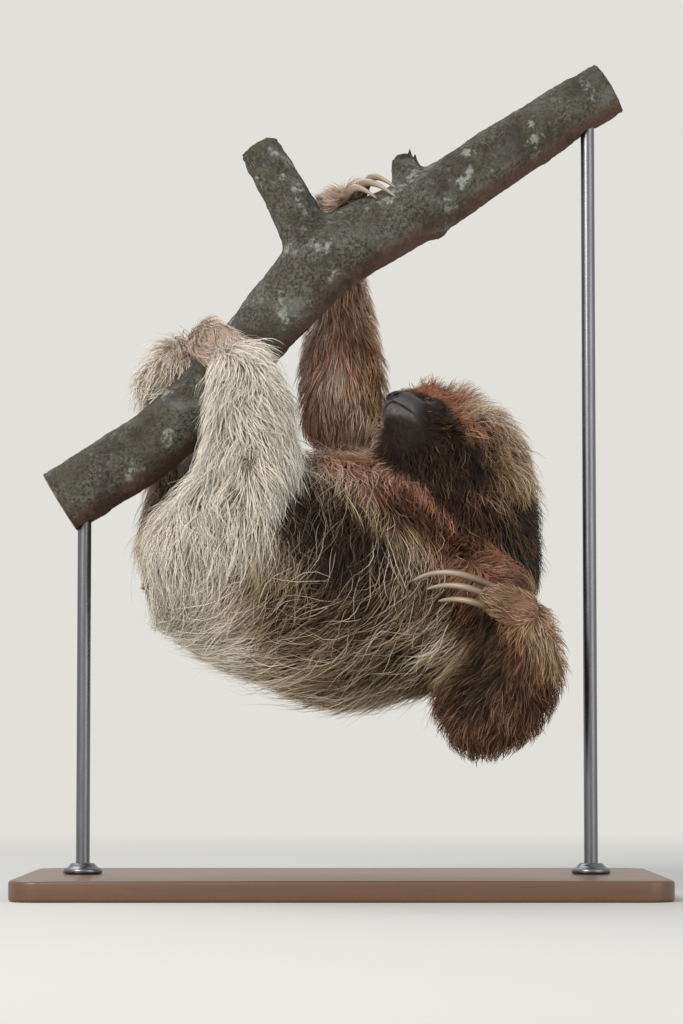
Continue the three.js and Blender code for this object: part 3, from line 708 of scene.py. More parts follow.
body_marks = [                                                     # in the row frame
    # Partly painted light: the breast between the near leg and the far arm is made paler, standing for light
    # falling on it.
    ((-24, -20, 374), (60, 10, 384), 44, (0.42, 0.00, 1.00)),       # light breast under the far arm
    ((10, -30, 380), (118, -40, 270), 44, (0.80, 0.00, 0.60)),      # red band along the chest
    ((48, -42, 326), (128, -46, 262), 27, (0.85, 0.60, 0.02)),
    ((-20, 60, 380), (110, 60, 270), 50, (0.65, 0.10, 0.20)),
    # Painted shade over real dark underfur: the crease beside the knee is made darker.
    ((-36, -62, 328), (-8, -72, 292), 34, (0.10, 1.00, 0.00)),      # dark hollow beside the knee
    ((-6, -70, 296), (26, -70, 286), 26, (0.15, 0.85, 0.00)),
    ((-4, -72, 290), (2, -74, 258), 24, (0.15, 0.90, 0.00)),
    # Painted shade: the hollow under the near hand is made dark.
    ((62, -60, 258), (72, -58, 234), 24, (0.15, 0.85, 0.00)),       # dark hollow under the near hand
    # Partly painted shade: the lower flank is made browner and darker than the rump.
    ((-40, -66, 232), (70, -60, 232), 46, (0.24, 0.58, 0.00)),      # browner flank
    ((-14, -52, 200), (50, -40, 190), 34, (0.24, 0.54, 0.00)),
    ((-156, 0, 300), (-120, 0, 210), 92, (0.12, 0.02, 0.58)),       # pale rump
    # Partly painted shade: between the thighs the coat is made browner and darker.
    ((-152, 30, 352), (-150, 20, 296), 46, (0.45, 0.34, 0.25)),     # brown between the thighs
    ((66, -50, 218), (96, -44, 198), 26, (0.18, 0.04, 0.25)),       # paler breast below that hollow
    # Painted shade: the near upper arm's inner side, in the body's shadow, is made dark.
    ((118, -58, 172), (140, -84, 214), 34, (0.35, 0.75, 0.00)),     # dark inner side of the near arm
    # Painted light: the tan rims of the near forearm and its elbow stand for rim light on the arm's outer
    # edge.
    ((176, -92, 200), (160, -124, 240), 26, (0.42, 0.12, 0.20)),    # tan rim of the near forearm
    ((104, -66, 114), (152, -88, 124), 21, (0.44, 0.16, 0.18)),     # and of its elbow
    # Painted light: the far arm's outer side is made pale cream where light falls on it.
    ((-30, 56, 490), (-18, 46, 400), 40, (0.60, 0.00, 0.95)),       # pale outer side of the far arm
    ((26, 44, 480), (36, 52, 420), 24, (0.50, 0.34, 0.10)),
]
noise.seed_set(SEED)                                               # or its vectors differ from run to run
ragged = np.array([noise.noise_vector(Vector(p) * 34) for p in points.tolist()])
in_row = points / MM + 7 * ragged                                  # so that the marks' edges are uneven
beside = (in_row + 9 * ragged) * (1, 0, 1)
owners = owner_of(points)
of_head = belongs(owners, "head", "nose", "lower_jaw", "neck")


def mark(where, start, end, reach, wanted, only=1.0):
    """Draws the markings towards what is wanted, along a capsule."""
    share = along(where, start, end, reach) * only
    fields[:, RUST:] += (np.array(wanted) - fields[:, RUST:]) * share[:, None]


for start, end, reach, wanted in body_marks:
    mark(in_row, start, end, reach, wanted)
for start, end, reach, wanted in neck_marks:
    mark(beside, start, end, reach, wanted, of_head)
for start, end, reach, wanted in head_marks:
    for mirror in ((1, 1, 1), (1, -1, 1)):
        mark(places, np.array(start) * mirror, np.array(end) * mirror, reach, wanted, of_head)
ripple = np.array([noise.fractal(Vector(p) * 22, 0.8, 2.0, 3) for p in points.tolist()])
fields[:, RUST:] = np.clip(fields[:, RUST:] * (1 + 0.35 * ripple[:, None]), 0, 1)

# %% [markdown]
# The bare face has an edge that wanders a little, as a beard's does. Beside it the coat starts short, and
# it deepens again on the bridge of the nose and in the crest of the crown.

# %% Bare skin and the hair beside it
EDGE_RIPPLE = 3.0
FACE_HAIR = 6                 # millimetres
HEAD_REACH = 75               # everything of the face lies within this of the head's middle
edge = EDGE_RIPPLE * ripple
bare = eased(x + edge, 18, 26) * (1 - eased(both, 15, 21)) * (1 - eased(z + edge, 5, 9))
bare = np.maximum(bare, eased(x + edge, 33, 39) * (1 - eased(z, 4, 7))) * eased(z + edge, -23, -17)
for centre in eye_centres.values():
    bare = np.maximum(bare, 1 - eased(np.linalg.norm(places - in_head(centre), axis=1) + edge, 6.5, 9.0))
bare = np.maximum(bare, lid)
within_head = np.linalg.norm(places, axis=1) < HEAD_REACH
bare *= within_head
pad *= within_head
fields[:, DEPTH] *= 1 - 0.9 * bare
face_hair = 1 - eased(np.linalg.norm(places - (30, 0, -4), axis=1), 22, 72)
fields[:, LENGTH] += (FACE_HAIR - fields[:, LENGTH]) * face_hair
bridge_fur = dab((34, 0, 12), (12, 10, 8)) * (1 - bare)
fields[:, DEPTH] += 4 * bridge_fur
fields[:, LENGTH] += 3 * bridge_fur
fields[:, DEPTH] += 7 * dab((-14, 0, 42), (24, 44, 20)) * of_head      # the crown's crest
print("bare skin on", int((bare > 0.5).sum()), "points")

# %% [markdown]
# ## The skin's own finish
# Most of the skin is seen only in the gaps between locks, where it has to look like dense underfur: dark
# at the roots and streaked, and darkened further as painted shade between the locks. On the face it is bare
# and slightly moist leather, painted near black as shade in the nostrils, along the mouth and at the rims
# of the lids. One finish mixes the two by the field `bare`. The coat's colours are mixed in one function,
# which the locks use too.

# %% Coat colours and the skin's finish
STRAW = paint(213, 190, 136), paint(112, 88, 57)          # tip, root of the ordinary body hair
CREAM = paint(255, 251, 240), paint(224, 206, 180)
RUSSET = paint(218, 149, 114), paint(130, 76, 54)
SOOT = paint(66, 43, 33), paint(24, 16, 13)


def coat_colour(finish, tip, own):
    """The coat's colour. tip runs from 0 at the root to 1, and own is a lock's own shade from 0 to 1."""
    colour = finish.mix(tip, STRAW[1], STRAW[0])
    marking = (("pale", CREAM, 1.0), ("rust", RUSSET, 1.0), ("dark", SOOT, 0.8))
    for name, (light, deep), full in marking:
        share = finish.ramp(finish.field(name), 0.0, full)
        colour = finish.mix(share, colour, finish.mix(tip, deep, light))
    brighter = finish.mix(0.5, colour, (1, 1, 1, 1), "SOFT_LIGHT")
    darker = finish.mix(0.7, colour, (0, 0, 0, 1))
    colour = finish.mix(finish.ramp(own, 0.55, 1.0), colour, brighter)
    return finish.mix(finish.ramp(own, 0.5, 0.0) * 0.85, colour, darker)


hide = Finish("skin_underfur_and_shade", Roughness=0.7, Specular_IOR_Level=0.35)
fleece = hide.cloud(260, 3, 0.7, (1, 1, 0.25))
# The underfur is the coat's colour near its root with a low own shade: real dark underfur, darkened further
# as painted shade between the locks.
underfur_and_shade = coat_colour(hide, fleece * 0.3, fleece * 0.4 + 0.06)
grain = hide.cells(1500)
slate = hide.mix(hide.cloud(120, 4, 0.6), paint(42, 37, 37), paint(82, 77, 78))
lips_and_chin = hide.mix(hide.ramp(hide.cloud(300, 3), 0.35, 0.7) * 0.7, slate, paint(102, 97, 98))
leather = hide.mix(hide.field("chin"), slate, lips_and_chin)
# Near black where this field is high: painted shade in the nostril pits, along the mouth line and at the
# rims of the lids. Over the lids a little of it is their own dark skin.
leather = hide.mix(hide.field("moist_and_shaded"), leather, paint(20, 15, 15))
leather = hide.mix(hide.field("pad"), leather, paint(30, 30, 35))
hide.colour(hide.mix(hide.field("bare"), underfur_and_shade, leather))
shine = hide.field("bare") * -0.22 - hide.field("pad") * 0.12 - hide.field("moist_and_shaded") * 0.25 + 0.78
hide.roughness(shine.held())
hide.relief(grain * 0.5 + hide.cloud(700, 3) * 0.5, 0.25 * MM, 0.7)

# %% Make the skin
chin = crease(np.abs(from_lips), 3.0, 3.0) * in_mouth
chin = np.maximum(chin, eased(x, 30, 37) * (1 - eased(z, -17, -13)))
# The nostrils' pits and the mouth line are painted dark as shade. The same field makes them and the lids'
# rims less rough.
nostril_dark = (1 - eased(nostril, 0.7, 1.3)) * eased(x, 38, 42)
lip_line = 0.8 * crease(from_lips, 0, 0.8) * in_mouth
moist_and_shaded = np.clip(moist_and_shaded + 0.2 * lid + nostril_dark + lip_line, 0, 1)
skin_fields = {"bare": bare, "chin": chin, "pad": pad, "moist_and_shaded": moist_and_shaded}
skin_fields |= {FIELDS[k]: fields[:, k] for k in (RUST, DARK, PALE)}
corners = faces.ravel()
starts = np.arange(0, len(corners), 3)
skin = piece_of("sloth_skin", points, corners, starts, "body_fur", hide, FLESH, skin_fields)
bpy.context.view_layer.objects.active = skin
skin.select_set(True)
bpy.ops.object.mode_set(mode="EDIT")
bpy.ops.mesh.select_all(action="SELECT")
bpy.ops.uv.smart_project(angle_limit=1.15, island_margin=0.002)
bpy.ops.object.mode_set(mode="OBJECT")
skin.select_set(False)
skin.data.uv_layers[0].name = "OFBake"
unwrapped = np.empty(len(corners) * 2, np.float32)
skin.data.uv_layers["OFBake"].data.foreach_get("uv", unwrapped)
face_patch = unwrapped.reshape(-1, 3, 2).mean(1)
print("skin piece:", len(faces), "faces")

# %% [markdown]
# ## The lie of the coat
# A sloth's hair runs the other way from most animals': from the belly to the back and from the hands to
# the body, so that rain runs off while it hangs. Over nearly the whole animal that is simply downhill. On
# the trunk it also leans towards the tail, and on the head it starts at the nose and runs back. Each face
# of the skin gets this direction, laid flat on the surface.

# %% Comb the skin
DOWN = np.array((0, 0, -1.0))
guide = np.tile(DOWN, (len(points), 1))
row_x, _, row_z = points.T / MM
swept = eased(row_z, 300, 215)[:, None]
down_the_flank = np.array((-0.2, 0, -1.0)) * (1 - swept) + np.array((-0.9, 0, -0.4)) * swept
of_trunk = belongs(owners, "trunk")
guide[of_trunk] = down_the_flank[of_trunk]
knee = belongs(owners, "left_thigh", "left_shank") & (row_x > -78) & (row_z > 285) & (row_z < 405)
for chosen, way in (
    (belongs(owners, "left_upper_arm", "left_forearm"), (-0.1, 0.65, -0.75)),  # under and behind the elbow
    (belongs(owners, "left_hand"), (-0.8, -0.2, 0.3)),
    (belongs(owners, "right_hand"), (-0.7, 0.1, 0.7)),
    (belongs(owners, "right_hand") & (row_x > 3), (0.8, -0.2, 0.3)),               # the knuckles
    (belongs(owners, "right_foot"), (-0.45, -0.45, -0.75)),
    (belongs(owners, "left_foot"), (0.7, -0.5, -0.5)),
    (belongs(owners, "left_shank") & (row_z > 452), (0.5, -0.35, -0.8)),           # the ankle
    (knee, (0.65, -0.2, -0.75)),
    (belongs(owners, "tail"), (-0.7, 0, -0.7)),
    (belongs(owners, "neck"), (0.25, 0, -0.97)),
):
    guide[chosen] = way
of_head = belongs(owners, "head", "nose", "lower_jaw")
from_nose = unit(places - (50, 0, -3)) @ head_axes
fall = eased(-x, 10, 70)[:, None]
guide[of_head] = (from_nose * (1 - 0.75 * fall) + np.array((0.15, 0, -1.0)) * fall)[of_head]
guide = relaxed(guide, edges, 8)

# %% [markdown]
# Where locks lie away from each other, as on the knuckles, the knee and the crown, hair parts and would
# show bald skin. The combing's own spread along each edge of the mesh says where that is, and more roots
# are sown there.

# %% Find the partings and sum up each face
lie = unit(guide - (guide * normals).sum(1)[:, None] * normals)
near, far = edges.T
run = points[far] - points[near]
opening = ((lie[far] - lie[near]) * run).sum(1) / (run ** 2).sum(1)
meetings = np.maximum(np.bincount(edges.ravel(), minlength=len(points)), 1)
parting = 2 * (np.bincount(near, opening, len(points)) + np.bincount(far, opening, len(points))) / meetings
face_parting = relaxed(parting, edges, 12)[faces].mean(1)
face_up = unit(normals[faces].mean(1))
face_way = guide[faces].mean(1)
face_way = unit(face_way - (face_way * face_up).sum(1)[:, None] * face_up)
corners_at = points[faces]
two_sides = corners_at[:, 1:] - corners_at[:, :1]
face_area = np.linalg.norm(np.cross(two_sides[:, 0], two_sides[:, 1]), axis=1) / 2
face_middle = corners_at.mean(1)
face_fields = fields[faces].mean(1)
face_bare = bare[faces].mean(1)
face_owner = owners[faces[:, 0]]
skin_tree = BVHTree.FromPolygons(points.tolist(), faces.tolist())
print("coat to grow on", round(float(face_area.sum() * 1e4)), "square centimetres")

# %% [markdown]
# ## Locks
# Hair strands would vanish when the model is exported, so the coat is made of solid locks: closed
# three-sided spikes, each a bundle of a few hairs, bent along the skin. They are laid in steps. At each
# step a lock goes on in the direction of the nearest skin and is lifted to the height it should have
# there, so it hugs the body; where it clings less it hangs free. Locks next to each other then draw
# together at the tips, as damp hair does.

# %% Lay, gather and thicken locks
rng = np.random.default_rng(SEED)
UNDER = 1.5 * MM              # how deep a lock is rooted in the skin
ASTRAY = 0.12                 # share of locks that lie more askew than the rest


def nearest_skin(places_now):
    """The nearest place on the skin and its face, for each place."""
    found = [skin_tree.find_nearest(p) for p in places_now.tolist()]
    return np.array([f[0] for f in found]), np.array([f[2] for f in found])


def turned(ways, ups, angle):
    """The directions turned about the skin's normal."""
    return ways * np.cos(angle)[:, None] + np.cross(ups, ways) * np.sin(angle)[:, None]


def sow(chosen_faces, count, density):
    """Roots scattered over the chosen faces, by area and density. Returns their places and faces."""
    weight = face_area[chosen_faces] * density
    picked = chosen_faces[rng.choice(len(chosen_faces), count, p=weight / weight.sum())]
    u, v = rng.random((2, count))
    over = u + v > 1
    u, v = np.where(over, 1 - u, u), np.where(over, 1 - v, v)
    a, b, c = (corners_at[picked, k] for k in range(3))
    return a + (b - a) * u[:, None] + (c - a) * v[:, None], picked


def lay(roots, home, length, height, steps, spread, cling, droop):
    """Paths of locks along the skin, the skin's normal beside each point, and the face two thirds along."""
    here, face = roots, home
    ups = [face_up[home]]
    path = [roots - face_up[home] * UNDER]
    faces_under = [home]
    astray = np.where(rng.random(len(roots)) < ASTRAY, 2.4, 1.0)
    stream = np.array([noise.noise(Vector(root) * 48) for root in roots.tolist()])
    turn = (stream * 2.2 + rng.normal(0, 0.5, len(roots)) * astray) * spread
    for step in range(1, steps + 1):
        share = step / steps
        up = face_up[face]
        way = turned(face_way[face], up, turn * (1.2 - 0.6 * share))
        way = unit(way * (1 - droop * share) + DOWN * droop * share)
        there = here + way * (length / steps)[:, None]
        spot, face = nearest_skin(there)
        up = face_up[face]
        change = height * (1 - (1 - share) ** 2) - ((there - spot) * up).sum(1)
        here = there + up * np.where(change < 0, change * cling, change)[:, None]
        path.append(here)
        ups.append(up)
        faces_under.append(face)
    return np.stack(path, 1), np.stack(ups, 1), faces_under[(2 * steps + 1) // 3]


GATHER_REACH = 12 * MM


def gather(path, every, pull):
    """Draws each lock's tip towards that of the nearest leading lock. Returns the paths and the leaders."""
    count, rings = path.shape[:2]
    leaders = rng.choice(count, max(count // every, 1), replace=False)
    tree = KDTree(len(leaders))
    for number, leader in enumerate(leaders):
        tree.insert(path[leader, 0], number)
    tree.balance()
    found = [tree.find(p)[1:] for p in path[:, 0].tolist()]
    leader = leaders[[f[0] for f in found]]
    near_enough = np.array([f[1] for f in found]) < GATHER_REACH
    share = (np.arange(rings) / (rings - 1)) ** 1.5
    strength = rng.uniform(0.35, 1.0, count) * pull * near_enough
    return path + (path[leader] - path) * (strength[:, None] * share)[:, :, None], leader


def wave(path, ups, size, waves):
    """Bends each lock from side to side, more towards its tip."""
    rings = path.shape[1]
    share = np.arange(rings) / (rings - 1)
    side = unit(np.cross(np.gradient(path, axis=1), ups))
    phase = rng.uniform(0, 2 * math.pi, (len(path), 1))
    pace = rng.uniform(0.7, 1.3, (len(path), 1)) * waves * 2 * math.pi
    sideways = np.sin(phase + pace * share) * share * size
    outward = np.cos(phase * 1.7 + pace * share) * share * size * 0.5
    path = path + side * sideways[:, :, None] + ups * outward[:, :, None]
    for _ in range(2):
        path[:, 1:-1] = (path[:, :-2] + 2 * path[:, 1:-1] + path[:, 2:]) / 4
    return path


SIDES = 3
FULLNESS = ([0, 0.12, 0.55, 1], [0.75, 1.0, 0.8, 0.0])        # share along a lock, and its girth there
FLATNESS = 0.6                # a lock's height beside its width
PATCH = 0.003                 # how wide a lock's own patch is in the UV map


def spikes(path, ups, half_width):
    """Closed tapered spikes: points, corners, face starts, each point's share along, and UV patches."""
    count, rings = path.shape[0], path.shape[1] - 1
    side = unit(np.cross(np.gradient(path, axis=1), ups))
    over = unit(np.cross(side, np.gradient(path, axis=1)))
    share = np.arange(rings) / rings
    girth = half_width[:, None] * np.interp(share, *FULLNESS)[None]
    angles = np.radians([90, 210, 330])
    across = side[:, :rings, None] * np.cos(angles)[:, None]
    upright = over[:, :rings, None] * np.sin(angles)[:, None] * FLATNESS
    ring = path[:, :rings, None] + girth[:, :, None, None] * (across + upright)
    body = np.concatenate([ring.reshape(count, -1, 3), path[:, -1:]], 1)
    corner, start, patch = [0, 1, 2], [0], [(0, 0), (1, 0), (0.5, 0.08)]
    for k in range(rings - 1):
        for s in range(SIDES):
            a, b = k * SIDES + s, k * SIDES + (s + 1) % SIDES
            start.append(len(corner))
            corner += [a, a + SIDES, b + SIDES, b]
            low, high = k / rings, (k + 1) / rings
            patch += [(s / 3, low), (s / 3, high), ((s + 1) / 3, high), ((s + 1) / 3, low)]
    for s in range(SIDES):
        a, b = (rings - 1) * SIDES + s, (rings - 1) * SIDES + (s + 1) % SIDES
        start.append(len(corner))
        corner += [a, rings * SIDES, b]
        patch += [(s / 3, 1 - 1 / rings), ((s + 0.5) / 3, 1), ((s + 1) / 3, 1 - 1 / rings)]
    each, corners_each = body.shape[1], len(corner)
    loops_all = (np.array(corner)[None] + np.arange(count)[:, None] * each).ravel()
    starts_all = (np.array(start)[None] + np.arange(count)[:, None] * corners_each).ravel()
    shares = np.append(np.repeat(share, SIDES), 1.0)
    return body.reshape(-1, 3), loops_all, starts_all, np.tile(shares, count), np.array(patch) * PATCH


fur = Finish("coat_hair", Roughness=0.62, Specular_IOR_Level=0.3)
fur.colour(coat_colour(fur, fur.field("tip"), fur.field("own")))

# %% [markdown]
# ## The coat, piece by piece
# A coat of a million triangles is too much for one mesh, so it is divided where a maker would divide it:
# rump, flank, chest, each limb, neck, head and face. Long hair lies on the trunk and hind legs, shorter
# softer hair on the arms, and the shortest on the face and hands.

# %% Grow the coat
CURL_LENGTH = 40 * MM                      # the length of a lock on which curl is given


def grow(name, slot, chosen, count, steps, half_width, spread=0.35, cling=0.8, droop=0.1, every=7,
         pull=0.55, curl=1.6, waves=0.8, rise=1.0, lift=0.0, thin_dark=0.0, longer=1.0, paler=0.0,
         clumps=0.26):
    """One coat piece on the chosen faces of the skin."""
    chosen = np.flatnonzero(chosen & (face_bare < 0.7))
    density = (1 - face_bare[chosen]) * (1 - thin_dark * face_fields[chosen, DARK])
    density *= 1 + np.clip(face_parting[chosen] * face_fields[chosen, LENGTH] * MM * longer, 0, 5)
    roots, home = sow(chosen, count, density)
    own = face_fields[home]
    length = own[:, LENGTH] * MM * rng.uniform(0.55, 1.15, count) * longer
    height = own[:, DEPTH] * MM * rise * rng.beta(2.4, 1.0, count) * 1.15
    height = np.where(rng.random(count) < 0.05, height * 1.5, height) + lift * MM * rng.random(count)
    path, ups, under = lay(roots, home, length, height, steps, spread, cling, droop)
    shown = face_fields[under] * (1, 1, 1, 1 - paler, 1 - paler) + (0, 0, 0, 0, paler)
    shown[:, RUST:] *= 1 + rng.normal(0, 0.22, (count, 3))
    shown[:, PALE] += np.abs(rng.normal(0, 0.12, count)) * (1 - shown[:, DARK])
    shown = np.maximum(shown, 0)
    path, leader = gather(path, every, pull)
    path = wave(path, ups, curl * MM * (length / CURL_LENGTH)[:, None] ** 0.85, waves)
    girth = half_width * MM * rng.uniform(0.7, 1.3, count)
    body, corner, start, share, patch = spikes(path, ups, girth)
    each = len(share) // count
    shade = rng.normal(0.56, 0.2, (count, 1)) + rng.normal(0, 0.15, (count, SIDES))
    shade += rng.normal(0, clumps, (count, 1))[leader]
    shade = np.concatenate([np.tile(shade, (1, steps)), shade[:, :1]], 1)
    lock_fields = {FIELDS[k]: np.repeat(shown[:, k], each) for k in (RUST, DARK, PALE)}
    lock_fields |= {"tip": share, "own": np.clip(shade.ravel(), 0, 1)}
    patches = (face_patch[home][:, None] + patch[None]).reshape(-1, 2)
    piece_of(name, body, corner, start, slot, fur, (), lock_fields, patches)
    print(f"{name}: {count} locks, {len(corner) - 2 * len(start)} triangles")


def on(*names):
    """The skin's faces on the named nodes."""
    return belongs(face_owner, *names)


face_x, _, face_z = face_middle.T / MM
body_coat = {"steps": 4, "half_width": 0.46, "spread": 0.5, "thin_dark": 0.5, "curl": 3.4, "pull": 0.7}
grow("rump_coat", "body_fur", on("trunk", "tail") & (face_x < -70), 4800, **body_coat)
grow("flank_coat", "body_fur", on("trunk") & (face_x >= -70) & (face_x < 5), 5200, **body_coat)
grow("chest_coat", "body_fur", on("trunk") & (face_x >= 5), 5200, **(body_coat | {"curl": 4.4}))

leg_coat = {"steps": 5, "half_width": 0.46, "spread": 0.5, "droop": 0.22, "cling": 0.6, "curl": 4.4,
            "lift": 4, "pull": 0.7}
foot_coat = leg_coat | {"steps": 4, "half_width": 0.3, "droop": 0.1, "cling": 0.9, "curl": 1.6,
                        "lift": 1, "rise": 0.75}
ankle_coat = leg_coat | {"lift": 7, "rise": 1.4, "cling": 0.4, "droop": 0.35}
knee_coat = leg_coat | {"longer": 1.3, "cling": 0.35, "lift": 7, "spread": 0.6}
far_foot_coat = leg_coat | {"lift": 9, "longer": 1.25, "rise": 3.2, "pull": 0.4, "droop": 0.3}
at_ankle = on("left_shank") & (face_z > 438) & (face_x > -100)
at_knee = on("left_thigh", "left_shank") & (face_x > -78) & (face_z > 285) & (face_z < 405)
grow("left_leg_coat", "leg_fur", on("left_thigh", "left_shank"), 5000, **leg_coat)
grow("left_foot_coat", "leg_fur", on("left_foot"), 1600, **foot_coat)
grow("left_ankle_coat", "leg_fur", at_ankle, 400, **ankle_coat)
grow("left_knee_coat", "leg_fur", at_knee, 700, **knee_coat)
grow("right_leg_coat", "leg_fur", on("right_thigh", "right_shank"), 3100, **leg_coat)
grow("right_foot_coat", "leg_fur", on("right_foot"), 1600, **far_foot_coat)

guard = {"steps": 6, "half_width": 0.44, "spread": 0.55, "every": 4, "pull": 0.6, "cling": 0.5,
         "droop": 0.15, "curl": 9, "waves": 1.0, "rise": 1.05, "lift": 6, "longer": 1.45, "paler": 0.45,
         "thin_dark": 0.65}
both_legs = on("left_thigh", "left_shank", "right_thigh", "right_shank")
grow("trunk_guard_hair", "body_fur", on("trunk") & ((face_x < 20) | (face_z < 320)), 2200, **guard)
grow("leg_guard_hair", "leg_fur", both_legs, 1700, **guard)

# %% Grow the hair of arms, neck and head
arm_coat = {"steps": 4, "half_width": 0.42, "spread": 0.34, "every": 5, "pull": 0.4, "curl": 2.6}
soft_coat = arm_coat | {"half_width": 0.37, "clumps": 0.14, "curl": 1.6, "cling": 0.75, "droop": 0.04,
                        "spread": 0.5, "rise": 1.15}
hand_coat = {"steps": 4, "half_width": 0.24, "spread": 0.6, "cling": 0.5, "curl": 2.2, "rise": 1.6,
             "lift": 6}
grow("left_arm_coat", "arm_fur", on("left_upper_arm", "left_forearm", "left_hand"), 6200, **soft_coat)
grow("right_arm_coat", "arm_fur", on("right_upper_arm", "right_forearm"), 5000, **arm_coat)
grow("right_hand_coat", "hand_fur", on("right_hand"), 2000, **hand_coat)

neck_coat = {"steps": 6, "half_width": 0.4, "curl": 7, "waves": 1.4, "every": 8, "pull": 0.6, "spread": 0.6,
             "rise": 1.3, "lift": 3}
head_coat = {"steps": 6, "half_width": 0.34, "curl": 5.5, "waves": 1.5, "spread": 0.65, "pull": 0.6}
face_coat = {"steps": 3, "half_width": 0.2, "curl": 0.4, "spread": 0.25, "pull": 0.2}
LONGEST_ON_FACE = 11          # millimetres
head_x, _, head_z = in_head(face_middle).T
whole_head = on("head", "nose", "lower_jaw")
haired = whole_head & (face_fields[:, LENGTH] > LONGEST_ON_FACE)
crown = (head_z > 6) & (head_x < 26)
grow("neck_coat", "neck_fur", on("neck"), 3500, **neck_coat)
grow("crown_coat", "face_fur", haired & crown, 2600, **head_coat, lift=9)
grow("cheek_coat", "face_fur", haired & ~crown, 2700, **head_coat, rise=1.2)
grow("face_coat", "face_fur", whole_head & ~haired, 3400, **face_coat)

# %% [markdown]
# ## The mane
# Long black hair hangs from the nape and hides where the neck goes into the shoulders. It doesn't hug the
# body: the locks start in a band across the nape and fall straight, with little cling, into loose points.

# %% Hang the mane
MANE_LOCKS = 1600
mane_low, mane_high = (np.array(corner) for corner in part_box("mane"))
mane_middle = (mane_low + mane_high) / 2
mane_wide = mane_high[1] - mane_low[1]
below_nape = (face_middle[:, 2] > mane_low[2] + 16 * MM) & (face_middle[:, 2] < mane_high[2] - 6 * MM)
below_nape &= np.abs(face_middle[:, 1] - mane_middle[1]) < mane_wide / 2
below_nape &= (face_middle[:, 0] > mane_low[0] - 22 * MM) & (face_up[:, 0] > 0.15) & on("neck", "head")
across_nape = np.abs(face_middle[below_nape, 1] - mane_middle[1]) / mane_wide * 2
to_top = eased(face_middle[below_nape, 2], mane_high[2] - 36 * MM, mane_high[2] - 6 * MM)
thinner = (1 - 0.85 * eased(across_nape, 0.4, 1.0)) * (1 - 0.8 * to_top)
roots, home = sow(np.flatnonzero(below_nape), MANE_LOCKS, thinner)
fall_to = mane_low[2] + rng.normal(-4, 24, MANE_LOCKS) * MM
length = np.clip(roots[:, 2] - fall_to, 24 * MM, 92 * MM)
height = rng.uniform(3, 16, MANE_LOCKS) * MM
path, ups, _ = lay(roots, home, length, height, steps=6, spread=0.12, cling=0.12, droop=0.75)
path = wave(gather(path, every=9, pull=0.75)[0], ups, 1.6 * MM, 0.8)
body, corner, start, share, patch = spikes(path, ups, rng.uniform(0.35, 0.7, MANE_LOCKS) * MM)
patches = (face_patch[home][:, None] + patch[None]).reshape(-1, 2)
black = Finish("mane_black", Roughness=0.42, Specular_IOR_Level=0.4)
black.colour(black.mix(black.field("tip"), paint(13, 12, 10), paint(36, 35, 28)))
piece_of("mane_hair", body, corner, start, "mane_hair", black, ["mane"], {"tip": share}, patches)
print("mane from", mane_high.round(3), "down to", mane_low.round(3))

# %% [markdown]
# ## Eyes
# A sloth's eye is small, round and so dark that the iris is only a brown ring. What makes it look alive
# is the clear bulge of the cornea in front of the ball, which gathers the lamp into one small highlight.
# A plain sphere has no such bulge, so the ball is turned about its line of sight with a profile that
# rises over the iris.

# %% Turn the eyeballs
PUPIL, IRIS = (15, 18), (36, 44)           # degrees from the line of sight, where each ends
EYE_RINGS, EYE_SPOKES = 40, 48
BULGE = 0.055                 # how far the cornea rises, as a share of the radius
gloss = {"Roughness": 0.4, "Coat_Weight": 0.55, "Coat_Roughness": 0.03, "Specular_IOR_Level": 0.04}
eye_glass = Finish("eye_glass", **gloss)
angle = eye_glass.field("from_pupil")
flecks = eye_glass.cloud(900, 2) * 0.5 + 0.5
iris = eye_glass.mix(flecks, paint(12, 7, 5), paint(34, 21, 13))
white = eye_glass.mix(eye_glass.ramp(angle, *IRIS), iris, paint(18, 13, 12))
eye_glass.colour(eye_glass.mix(eye_glass.ramp(angle, *PUPIL), paint(4, 3, 3), white))
turn = np.radians(np.linspace(0, 180, EYE_RINGS + 1)[1:-1])
radius = EYE_RADIUS * MM * (1 + BULGE * (1 - eased(np.degrees(turn), 18, 42)))
spokes = np.linspace(0, 2 * math.pi, EYE_SPOKES, endpoint=False)
from_pupil = {"from_pupil": np.append(np.repeat(np.degrees(turn), EYE_SPOKES), [0, 180])}
for side, sign in (("left", 1), ("right", -1)):
    look = (LOOK * (1, sign, 1)) @ head_axes
    across = unit(np.cross((0, 0, 1.0), look))
    above = np.cross(look, across)
    wheel = np.cos(spokes)[:, None] * across + np.sin(spokes)[:, None] * above
    ways = np.cos(turn)[:, None, None] * look + np.sin(turn)[:, None, None] * wheel
    rings = eye_centres[side] + radius[:, None, None] * ways
    poles = eye_centres[side] + np.array([look * radius[0], -look * radius[-1]])
    body = ringed(rings, poles, flip=True)
    piece_of(f"{side}_eyeball", *body, "eye", eye_glass, [f"{side}_eye"], from_pupil)
print("eyes", {side: centre.round(4).tolist() for side, centre in eye_centres.items()})

# %% [markdown]
# ## The branch's middle line
# The claws and the bark both follow the branch. Its middle line is the same smooth curve through the same
# stations as in the solid, so that a place on it gives the direction of the grain and the place of a
# grip.

# %% Lines through the wood
LIMB = ((-248, 0, 343), (-204, 0, 370), (-173, 0, 391), (-137, 0, 420), (-98, 0, 462), (-59, 0, 507),
        (-10, 0, 560), (34, 0, 585), (78, 0, 609), (176, 0, 675), (237, 0, 712))
FORK = ((-20, 0, 556), (-40, 8, 600), (-57, 16, 633), (-73, 24, 662))
STUB = ((64, 2, 606), (58, 6, 634), (54, 8, 652))


PER_SPAN = 24                 # points between two stations


